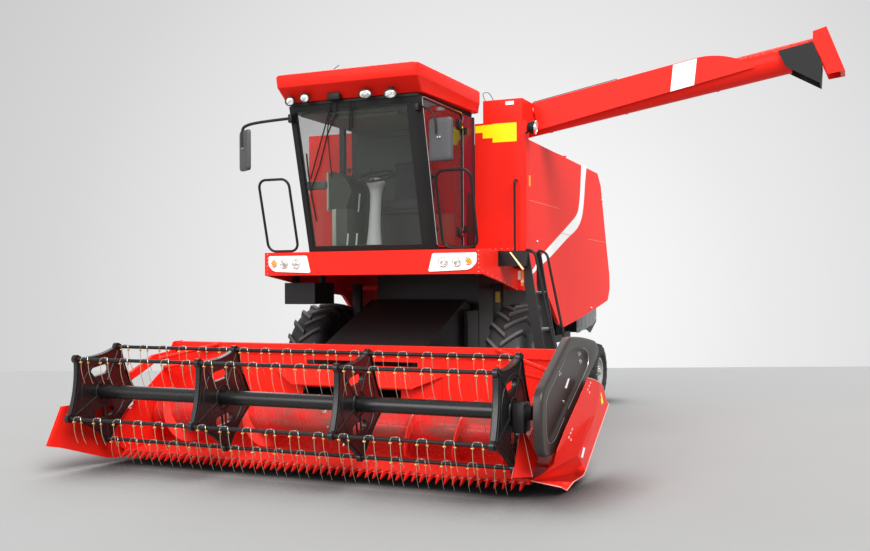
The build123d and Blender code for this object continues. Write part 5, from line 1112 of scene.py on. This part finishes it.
rounded_plate(clamp_form, DOOR_X - 0.004, DOOR_X + 0.022, -1.500, -1.440, 2.80, 2.885, 0.01)
rounded_plate(clamp_form, DOOR_X - 0.004, DOOR_X + 0.020, -1.375, -1.325, 2.31, 2.37, 0.01)
piece("door_trim", door_form, "black_plastic", "cab_door", "door_frame")
line_form = bmesh.new()
wire_along(line_form, [at(DOOR_X + 0.0125, y, z) for y, z in DOOR_LINE], 0.0032, 6)
pipe(line_form, ((DOOR_X + 0.0125, -0.618, 3.59), (DOOR_X + 0.0125, -0.618, 2.18)), 0.0028, 6)
piece("door_edge", line_form, "chrome_rod", "cab_door")
piece("door_clamps", clamp_form, "black_plastic", "cab_door")
piece("door_studs", stud_form, "chrome_rod", "cab_door")
pane_form = bmesh.new()
profile_plate(pane_form, DOOR_LINE, DOOR_X - 0.006, DOOR_X + 0.002)
add_finish("tinted_pane", pane((0.060, 0.030, 0.032, 1), 0.34, 0.08, 0.04))
piece("door_pane", pane_form, "tinted_pane", "cab_door", "door_glass")

# Quarter panels and trims: sheet beside the door's rear edge, a black trim up the left pillar, a
# tinted band along the windscreen's head and a rubber strip between the cab and the column.
quarter_form, trim_form, band_form, strip_form = forms(4)
rounded_plate(quarter_form, 0.7510, 0.7570, -0.596, -0.236, 2.175, 3.632, 0.002)
rounded_plate(trim_form, 0.7575, 0.7640, -0.440, -0.236, 2.175, 2.780, 0.003)
skin(trim_form, [[on_glass(x, z, off) for x, off in ((0.590, 0.004), (0.742, 0.004), (0.748, -0.02),
                                                     (0.590, -0.02))] for z in (2.175, 2.9, 3.60)])
skin(band_form, [[on_glass(x, z, off) for x, off in ((-0.700, 0.006), (0.735, 0.006), (0.735, 0.001),
                                                     (-0.700, 0.001))] for z in (3.576, 3.668)])
for hand in (-1, 1):
    rounded_plate(strip_form, *sorted((hand * 0.735, hand * 0.7695)), -0.262, -0.226, 2.17, 3.640, 0.004)
# The quarter sheet is red coloured very dark, as painted shade.
add_finish("painted_shade_red", enamel((0.155, 0.010, 0.020, 1), 0.05))
piece("quarter_sheet", quarter_form, "painted_shade_red", "machine")
piece("pillar_trim", trim_form, "black_plastic", "machine")
piece("screen_band", band_form, "lining", "machine")
piece("column_strips", strip_form, "rubber", "machine")

# Mirrors: moulded heads on bent pipe arms, each clamped with two bolts in the middle of its back.
mirror_form, mirror_arm_form, mirror_bolt_form = forms(3)
add_finish("grey_moulding", satin((0.060, 0.061, 0.066, 1), 0.38, grain=220))
for middle, turn, size in (((0.985, -1.715, 3.185), -6, (0.128, 0.212)),
                           ((-1.295, -1.690, 3.215), -35, (0.125, 0.215))):
    level = Matrix.Rotation(radians(turn), 3, "Z")
    rings = []
    for depth, inset in ((0.016, 0.004), (0.020, 0.0), (-0.004, 0.0), (-0.014, 0.004), (-0.020, 0.016),
                         (-0.022, 0.05)):
        outline = rounded_ring(size[0] - inset, -size[1] + inset, size[1] - inset, 0.036 - inset * 0.3, 0, 5)
        rings.append([at(*middle) + level @ Vector((point.x - axle.x, depth, point.y - axle.y))
                      for point in outline])
    skin(mirror_form, rings)
    for across in (-0.016, 0.010):
        head = at(*middle) + level @ Vector((across, -0.022, 0.020))
        wire_along(mirror_bolt_form, [head, head + level @ Vector((0, -0.012, 0))], 0.010, 6)
wire_along(mirror_arm_form, eased([at(*p) for p in ((0.745, -1.665, 3.545), (0.800, -1.705, 3.516),
                                                    (0.880, -1.738, 3.474), (0.936, -1.747, 3.400),
                                                    (0.950, -1.747, 3.240))], 4), 0.0095, 8)
wire_along(mirror_arm_form, eased([at(*p) for p in ((-0.735, -1.680, 3.520), (-0.95, -1.683, 3.512),
                                                    (-1.150, -1.686, 3.500), (-1.270, -1.688, 3.480),
                                                    (-1.325, -1.690, 3.430), (-1.322, -1.700, 3.240))], 4),
           0.016, 10)
rounded_plate(mirror_arm_form, 0.700, 0.745, -1.715, -1.625, 3.490, 3.560, 0.008)
rounded_plate(mirror_arm_form, -0.745, -0.700, -1.715, -1.625, 3.470, 3.560, 0.008)
piece("mirror_heads", mirror_form, "grey_moulding", "machine", "mirrors", crease=50)
piece("mirror_arms", mirror_arm_form, "black_paint", "machine", "mirrors")
piece("mirror_bolts", mirror_bolt_form, "chrome_rod", "machine")

# Belt guard: a vacuum-formed black plastic shell over the reel's drive, with a rolled edge and a
# pressed recess, held on by plated bolts.
GUARD_EDGE = [(-2.262, 1.318), (-1.895, 1.296), (-1.540, 1.255), (-1.400, 1.226), (-1.315, 1.165),
              (-1.352, 1.082), (-1.640, 0.950), (-2.060, 0.752), (-2.480, 0.556), (-2.780, 0.418),
              (-2.866, 0.402), (-3.010, 0.410), (-3.090, 0.440), (-3.125, 0.500), (-3.168, 0.675),
              (-3.158, 0.842), (-3.120, 0.930), (-2.997, 0.998), (-2.790, 1.096), (-2.597, 1.188),
              (-2.440, 1.262), (-2.360, 1.298)]
GUARD_DISH = [(-2.155, 1.213), (-1.897, 1.193), (-1.742, 1.144), (-1.739, 1.047), (-1.892, 0.960),
              (-2.390, 0.736), (-2.745, 0.558), (-2.868, 0.514), (-2.959, 0.517), (-3.024, 0.562),
              (-3.051, 0.745), (-3.009, 0.877), (-2.784, 1.000), (-2.563, 1.100), (-2.398, 1.178)]


def even_loop(points, count):
    """Closed line smoothed and divided evenly from its topmost point."""
    closed = [Vector(p) for p in points]
    spans = zip(closed[-1:] + closed[:-1], closed, closed[1:] + closed[:1], closed[2:] + closed[:2])
    line = [point for span in spans for point in bend(*span, 6)]
    top = max(range(len(line)), key=lambda k: line[k].y - 0.3 * line[k].x)
    line = line[top:] + line[:top + 1]
    steps = [(b - a).length for a, b in zip(line, line[1:])]
    whole, out, run, k = sum(steps), [], 0.0, 0
    for number in range(count):
        target = whole * number / count
        while run + steps[k] < target:
            run += steps[k]
            k += 1
        out.append(line[k].lerp(line[k + 1], (target - run) / max(steps[k], 1e-9)))
    return out


def drawn_in(loop, inset):
    """The loop moved in towards its middle line by inset."""
    area = sum(a.x * b.y - b.x * a.y for a, b in zip(loop, loop[1:] + loop[:1]))
    inwards = inset if area > 0 else -inset
    out = []
    for a, b, c in zip(loop[-1:] + loop[:-1], loop, loop[1:] + loop[:1]):
        run = (c - a).normalized()
        out.append(b + Vector((-run.y, run.x)) * inwards)
    return out


guard_form, guard_line_form, guard_bolt_form = forms(3)
edge_loop, dish_loop = even_loop(GUARD_EDGE, 120), even_loop(GUARD_DISH, 120)
GUARD_LEVELS = ((2.362, edge_loop, 0.004), (2.364, edge_loop, 0.0), (2.414, edge_loop, 0.0),
                (2.426, edge_loop, 0.004), (2.433, edge_loop, 0.013), (2.435, edge_loop, 0.026),
                (2.435, dish_loop, -0.008), (2.433, dish_loop, -0.002), (2.420, dish_loop, 0.012),
                (2.409, dish_loop, 0.024), (2.406, dish_loop, 0.040))
skin(guard_form, [[at(x, *point) for point in drawn_in(loop, inset)] for x, loop, inset in GUARD_LEVELS])
add_finish("moulded_shell", satin((0.020, 0.0150, 0.0135, 1), 0.30, grain=260,
                                                          depth=0.08, shine=0.45))
piece("guard_shell", guard_form, "moulded_shell", "reel_arms", "belt_guard", crease=60)
# A thin steel wire along the recess's rim stands for its highlight: a painted highlight.
painted_highlight_run = [at(2.4355, *point) for point in drawn_in(dish_loop, -0.006)]
wire_along(guard_line_form, painted_highlight_run[62:118], 0.0022, 5)
wire_along(guard_line_form, painted_highlight_run[18:58], 0.0030, 5)
piece("guard_highlight", guard_line_form, "steel", "reel_arms")
for y, z, x in ((-1.944, 1.151, 2.406), (-1.903, 1.080, 2.406), (-2.571, 1.031, 2.406),
                (-2.450, 0.782, 2.406), (-3.000, 0.560, 2.409)):
    pipe(guard_bolt_form, ((x - 0.002, y, z), (x + 0.004, y, z)), 0.020, 16)
    pipe(guard_bolt_form, ((x + 0.003, y, z), (x + 0.014, y, z)), 0.012, 6)
piece("guard_bolts", guard_bolt_form, "chrome_rod", "reel_arms")
guard_straps = bmesh.new()
for y, z in ((-2.850, 0.700), (-1.925, 1.030)):
    rounded_plate(guard_straps, 2.226, 2.364, y - 0.035, y + 0.035, z - 0.025, z + 0.025, 0.005)
piece("guard_straps", guard_straps, "black_paint", "reel_arms")
plate_form = bmesh.new()
profile_plate(plate_form, ((-2.406, 0.894), (-2.300, 0.964), (-2.254, 0.959), (-2.350, 0.886)), 2.4062,
              2.4072)
piece("guard_label", plate_form, "white_vinyl", "reel_arms")
house_form = bmesh.new()
rounded_plate(house_form, 2.150, 2.252, -3.048, -2.868, 0.590, 0.826, 0.012)
drum_shape(house_form, at(2.235, -2.965, 0.750), (1, 0, 0),
           ((0, 0.078), (0.020, 0.078), (0.030, 0.066), (0.060, 0.050), (0.062, 0.030)))
piece("drive_housing", house_form, "black_paint", "reel_arms")

# Crop dividers: folded red sheet at each end of the table.  The left one is a wide shield outside
# the belt guard with an upright nose; the right one is a plain plate with a folded point.
shield_form, lip_form, nose_form, far_form = forms(4)
SHIELD_FACE = 2.506
TIP, HEEL, KEEL = (2.166, -2.617, 0.130), (2.440, -1.951, 0.070), (2.420, -2.200, 0.060)
TOE, UNDER = (2.400, -2.353, 0.014), (2.400, -2.520, 0.075)
FACE_UPPER = [(SHIELD_FACE, -2.003, 0.946), (SHIELD_FACE, -1.780, 0.909), (SHIELD_FACE, -1.597, 0.868),
              (SHIELD_FACE, -1.616, 0.750), (SHIELD_FACE, -1.774, 0.591), (SHIELD_FACE, -2.003, 0.381),
              (2.500, -2.350, 0.320)]
FACE_INNER = [(SHIELD_FACE, -2.374, 0.766), (SHIELD_FACE, -2.708, 0.614), (2.478, -2.894, 0.447),
              (2.440, -2.850, 0.330), (2.340, -2.780, 0.240)]
FACE_OUTER = [(2.455, -1.237, 0.785), (2.455, -1.102, 0.630), (2.455, -1.020, 0.600), (2.455, -1.504, 0.342),
              (2.455, -1.934, 0.106)]


def folded_sheet(form, corners, thick=0.006, apart=(1, 0, 0)):
    """Flat or slightly bent sheet through its corners."""
    lift = Vector(apart) * thick
    skin(form, [[at(*corner) for corner in corners], [at(*corner) - lift for corner in corners]])


folded_sheet(shield_form, FACE_UPPER + [TIP] + FACE_INNER[::-1])
folded_sheet(shield_form, [FACE_UPPER[2], *FACE_OUTER, *FACE_UPPER[:2:-1]])
folded_sheet(shield_form, [FACE_UPPER[6], FACE_OUTER[4], HEEL, KEEL, TIP])
folded_sheet(shield_form, [TIP, KEEL, TOE, UNDER], 0.004, (0, 0, 1))
piece("divider_shield", shield_form, "red_paint", "table", "dividers", crease=8)
# Pale pink lips along the dividers' edges and on the shield's stampings are painted highlights.
add_finish("painted_highlight_edge", enamel((0.95, 0.42, 0.38, 1), 0.3))
pipe(lip_form, (*FACE_OUTER[2:], HEEL, KEEL, TOE, UNDER, TIP), 0.0045, 6)
pipe(lip_form, FACE_UPPER[:3] + FACE_OUTER[:3], 0.0035, 6)
NOSE = {"top": (2.170, -2.870, 0.636), "left": (2.112, -2.945, 0.205), "ridge": (2.160, -3.060, 0.236),
        "right": (2.235, -2.790, 0.200), "back": (2.240, -2.640, 0.330), "heel": (2.160, -2.640, 0.340),
        "foot": (2.160, -2.640, 0.150)}
for corners in (("top", "left", "ridge"), ("top", "ridge", "right"), ("top", "right", "back"),
                ("top", "back", "heel"), ("top", "heel", "foot", "left"), ("left", "foot", "right", "ridge"),
                ("right", "foot", "heel", "back")):
    nose_form.faces.new([nose_form.verts.new(at(*NOSE[corner])) for corner in corners])
bmesh.ops.remove_doubles(nose_form, verts=nose_form.verts, dist=0.0001)
piece("divider_nose", nose_form, "red_paint", "table", "dividers", crease=5)
wire_along(lip_form, [at(*NOSE[corner]) for corner in ("left", "top", "right")], 0.004, 6)
piece("divider_edges", lip_form, "painted_highlight_edge", "table")


def spread_x(y):
    """Inner face of the right divider, which opens outward towards its nose."""
    return -2.1583 + 0.155 * (y + 2.400)


far_side = [(-2.400, 0.095), (-2.400, 0.470), (-2.560, 0.560), (-2.960, 0.640), (-3.290, 0.632),
            (-3.452, 0.275), (-3.290, 0.235), (-2.773, 0.062), (-2.663, 0.045), (-2.480, 0.060)]
skin(far_form, [[at(spread_x(y) + off, y, z) for y, z in far_side] for off in (-0.007, 0.007)])
skin(far_form, [[at(spread_x(y) + off, y, z) for y, z in ((-3.290, 0.632), (-3.452, 0.275), (-3.405, 0.262),
                                                          (-3.252, 0.622))] for off in (-0.015, 0.015)])
rounded_plate(far_form, -2.172, -2.158, -2.437, -2.397, 0.120, 0.600, 0.003)
for y, z0, z1 in ((-2.620, 0.120, 0.540), (-2.900, 0.150, 0.590)):
    pipe(far_form, ((spread_x(y) - 0.012, y, z0), (spread_x(y) - 0.012, y, z1)), 0.008, 8)
for y0, y1, z0, z1 in ((-2.120, -2.080, 0.150, 0.180), (-1.700, -1.660, 0.560, 0.590)):
    rounded_plate(far_form, 2.158, 2.496, y0, y1, z0, z1, 0.004)
piece("divider_right", far_form, "red_paint", "table", "dividers", crease=20)
tag_form, strip_form, stamp_form = forms(3)
for form, back, corners in (
    (tag_form, 0.028, ((-1.483, 0.758), (-1.420, 0.752), (-1.340, 0.650), (-1.410, 0.640))),
    (strip_form, 0, ((-2.192, 0.366), (-2.136, 0.348), (-2.215, 0.277), (-2.273, 0.291))),
):
    profile_plate(form, corners, SHIELD_FACE + 0.0015 - back, SHIELD_FACE + 0.0025 - back)
for y, z in ((-1.976, 0.843), (-2.597, 0.518)):
    for dy, dz in ((-0.05, 0.0), (0.0, 0.028), (0.05, 0.05), (0.012, -0.03)):
        rounded_plate(stamp_form, 2.5055, 2.5085, y + dy - 0.016, y + dy + 0.016, z + dz - 0.010,
                      z + dz + 0.010, 0.001)
piece("shield_tag", tag_form, "yellow_vinyl", "table")
piece("shield_strip", strip_form, "white_vinyl", "table")
piece("shield_stamps", stamp_form, "painted_highlight_edge", "table")

# Tyre finish: dark rubber whose bars are paler grey on top, partly worn by the ground and partly a
# painted highlight where the light catches them.  It goes on the four finished tyres, by the distance
# from each wheel's axle line.
def worn_and_highlit_tyre(middle, radius):
    """Rubber that pales beyond radius from the axle line through middle."""
    def build(wire):
        place = wire.add("SeparateXYZ", None, {0: wire.add("TexCoord", out=3)}, out=1)
        height = wire.add("SeparateXYZ", None, {0: wire.add("TexCoord", out=3)}, out=2)
        away_y, away_z = place - middle.y, height - middle.z
        # The paler bar tops are partly wear and partly painted highlight.
        top = (away_y * away_y + away_z * away_z) > (radius + 0.012) ** 2
        fine = wire.noise(60, 4)
        bump = wire.add("Bump", None, {"Strength": 0.35, "Distance": 0.002, "Height": fine})
        wear_and_highlight_colour = (top * (0.55 + fine * 0.4)).mix((0.022, 0.021, 0.022, 1), (0.105, 0.100, 0.098, 1))
        return {"Base Color": wear_and_highlight_colour, "Roughness": 0.62 - top * 0.14, "Specular IOR Level": 0.35,
                "Normal": bump}
    return build


for end, radius in (("front", 0.738), ("rear", 0.416)):
    low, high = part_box(f"{end}_tyre_left")
    worn = finish(f"{end}_tyre_rubber", worn_and_highlit_tyre((low + high) / 2, radius))
    for side in ("left", "right"):
        bpy.data.objects[f"{end}_tyre_{side}_rubber"].data.materials[0] = worn

# Deck and ladder dressing: a red skirt that closes the column's foot, reflective strips, a pale
# strap across the valance, bright steel strips on the ladder's treads as painted highlights, and posts behind
# the deck.
SKIRT_FILM = -0.2275
skirt_form, strap_form, marks_form, tread_highlight_form, post_form, white_form = forms(6)
facing_plate(skirt_form, ((1.225, 1.935), (1.352, 1.935), (1.352, 1.700), (1.225, 1.722)), -0.2270, -0.2245)
rounded_plate(skirt_form, 1.346, 1.352, -0.2265, -0.020, 1.700, 1.935, 0.002)
piece("column_skirt", skirt_form, "red_paint", "machine")
add_finish("cream_strap", satin((0.86, 0.74, 0.42, 1), 0.35, depth=0.05))
facing_plate(strap_form, ((1.378, 2.104), (1.394, 2.106), (1.536, 1.928), (1.520, 1.920)), -0.832, -0.8205)
piece("valance_strap", strap_form, "cream_strap", "machine")
for mark in ((1.300, 1.336, 1.822, 1.918), (1.303, 1.334, 1.752, 1.786)):
    facing_plate(marks_form, oblong(*mark), -0.2288, SKIRT_FILM)
piece("skirt_strips", marks_form, "orange_vinyl", "machine")
for mark in ((1.268, 1.300, 1.822, 1.918), (1.303, 1.334, 1.788, 1.820)):
    facing_plate(white_form, oblong(*mark), -0.2287, SKIRT_FILM)
piece("skirt_whites", white_form, "white_vinyl", "machine")
# Steel strips on each tread stand for its highlights: painted highlights.
for step in range(4):
    level = 1.690 - 0.390 * step
    inner_x, outer_x = 1.490 + 0.163 * max(0, 1.767 - level), 1.535 + 0.163 * (2.120 - level)
    rounded_plate(tread_highlight_form, outer_x - 0.022, outer_x - 0.005, -0.652, -0.253, level - 0.004, level + 0.003,
                  0.001)
    for k in range(6):
        rounded_plate(tread_highlight_form, inner_x + 0.012, outer_x - 0.030, -0.640 + 0.070 * k, -0.632 + 0.070 * k,
                      level, level + 0.004, 0.001)
piece("tread_highlight_strips", tread_highlight_form, "steel", "machine")
rounded_plate(post_form, 0.855, 0.965, 0.100, 0.166, 1.00, 1.78, 0.008)
rounded_plate(post_form, -0.965, -0.855, 0.100, 0.166, 1.00, 1.78, 0.008)
piece("body_posts", post_form, "black_paint", "machine")
add_finish("ochre_vinyl", satin((0.42, 0.27, 0.01, 1), 0.4, depth=0.02))
ochre_form = bmesh.new()
facing_plate(ochre_form, ((0.888, 1.565), (0.945, 1.560), (0.945, 1.685), (0.888, 1.685)), 0.0985, 0.0998)
piece("post_label", ochre_form, "ochre_vinyl", "machine")

# Unloading tube dressing: a plain white band across the fairing, a thin wire along its top, clamp
# rings round the tube and a bent wire over the column box.
TUBE_RISE = radians(9.7)
band_form, rail_form, ring_form, bent_form = forms(4)
facing_plate(band_form, ((2.868, 3.832), (3.118, 3.882), (3.150, 4.163), (2.900, 4.117)), 0.1800, 0.1815)
piece("fairing_band", band_form, "white_vinyl", "unloading_auger")
wire_along(rail_form, [at(x, 0.200, 3.8310 + (x - 1.312) * 0.18485 + lift)
                       for x, lift in ((1.31, -0.004), (1.33, 0.010), (2.28, 0.012), (2.30, -0.004))], 0.004,
           8)
piece("fairing_rail", rail_form, "black_paint", "unloading_auger")
for run in (0.42, 1.30, 2.30):
    middle = Vector((axle.x + 1.050 + run * cos(TUBE_RISE), axle.y + 0.350, 3.587 + run * sin(TUBE_RISE)))
    out = Vector((cos(TUBE_RISE), 0, sin(TUBE_RISE)))
    drum_shape(ring_form, middle, out, ((-0.012, 0.1495), (-0.010, 0.156), (0.010, 0.156), (0.012, 0.1495)),
               40)
piece("tube_rings", ring_form, "red_paint", "unloading_auger")
wire_along(bent_form, eased([at(*p) for p in ((0.880, -0.10, 3.815), (0.840, -0.10, 3.870),
                                              (0.830, -0.10, 3.930), (0.900, -0.10, 3.925),
                                              (0.960, -0.10, 3.822))], 5), 0.004, 6)
piece("box_wires", bent_form, "black_paint", "machine")

# Straw hood: galvanised side sheets bolted over the frame, pleated rubber curtains inside them and a
# hung rubber flap behind.
add_finish("galvanised", satin((0.19, 0.195, 0.20, 1), 0.42, 0.35, grain=40, depth=0.25,
                                                    shine=0.5))
hood_form, curtain_form, hood_bolts = forms(3)
HOOD_FACE = 0.884
HOOD_LINE = [(3.665, 1.030), (3.665, 1.700), (4.000, 1.740), (4.500, 1.690), (4.860, 1.490), (4.862, 1.185),
             (4.640, 1.120), (4.200, 1.075)]
for hand in (-1, 1):
    profile_plate(hood_form, HOOD_LINE, hand * (HOOD_FACE - 0.0035), hand * HOOD_FACE)
    for y in (3.72, 3.95, 4.18, 4.41, 4.64):
        pipe(hood_form, ((hand * HOOD_FACE, y, 1.10), (hand * HOOD_FACE, y + 0.01, 1.62)), 0.007, 8)
    pleats = [(3.655 - 0.012 * k, (0.012 if k % 2 else -0.006)) for k in range(40)]
    sheet = [(0.700 + off, y) for y, off in pleats] + [(0.690 + off, y) for y, off in reversed(pleats)]
    skin(curtain_form, [[at(hand * x, y, z) for x, y in sheet] for z in (1.02, 1.78)])
    for y, z in ((3.72, 1.66), (4.10, 1.70), (4.45, 1.66), (4.78, 1.50), (4.80, 1.22), (3.72, 1.10)):
        button(hood_bolts, at(hand * HOOD_FACE, y, z), (hand, 0, 0), 0.012)
rounded_plate(curtain_form, -0.620, 0.620, 4.860, 4.868, 0.98, 1.22, 0.002)
piece("hood_sheets", hood_form, "galvanised", "machine")
piece("hood_curtains", curtain_form, "rubber", "machine", crease=25)
piece("hood_bolts", hood_bolts, "steel", "machine")

# Back of the machine: louvres in the rear cover, tail lamps, a tube across the grain tank's mouth, and
# the exhaust's clamps and rain flap.
louvre_form, tail_form, rim_tube, flap_form = forms(4)
COVER_TOP, COVER_FOOT = (3.030, 3.300), (3.640, 1.880)  # the sloping cover, as (y, z)


def on_cover(share):
    """Place on the cover as (y, z), by the share of the way down it."""
    return [top + (foot - top) * share for top, foot in zip(COVER_TOP, COVER_FOOT)]


for k in range(9):
    y, z = on_cover(0.30 + 0.045 * k)
    skin(louvre_form, [[at(x, y + a, z + b) for a, b in ((0.002, 0.024), (0.022, 0.002), (0.004, -0.004))]
                       for x in (-0.55, 0.55)])
piece("cover_louvres", louvre_form, "red_paint", "machine")
add_finish("red_lens", satin((0.42, 0.01, 0.01, 1), 0.12, depth=0.02))
for hand in (-1, 1):
    y, z = on_cover(0.86)
    rounded_plate(tail_form, *sorted((hand * 1.02, hand * 1.20)), y - 0.002, y + 0.040,
                  z - 0.045, z + 0.045, 0.012)
piece("tail_lamps", tail_form, "red_lens", "machine")
pipe(rim_tube, ((-1.345, 1.490, 3.372), (1.345, 1.490, 3.372)), 0.012, 10)
piece("tank_rim", rim_tube, "red_paint", "machine")
pipe_x, pipe_y = -0.150, 1.940
for z, radius in ((3.130, 0.104), (3.360, 0.104), (3.585, 0.104), (3.790, 0.044)):
    drum_shape(flap_form, at(pipe_x, pipe_y, z), (0, 0, 1),
               [(along, radius + out) for along, out in
                ((-0.010, -0.004), (-0.008, 0.003), (0.008, 0.003), (0.010, -0.004))])
drum_shape(flap_form, at(pipe_x, pipe_y, 3.806), (0.0, -0.35, 1.0),
           ((-0.002, 0.044), (0.000, 0.047), (0.004, 0.046), (0.006, 0.010)))
piece("exhaust_fittings", flap_form, "exhaust_steel", "machine")
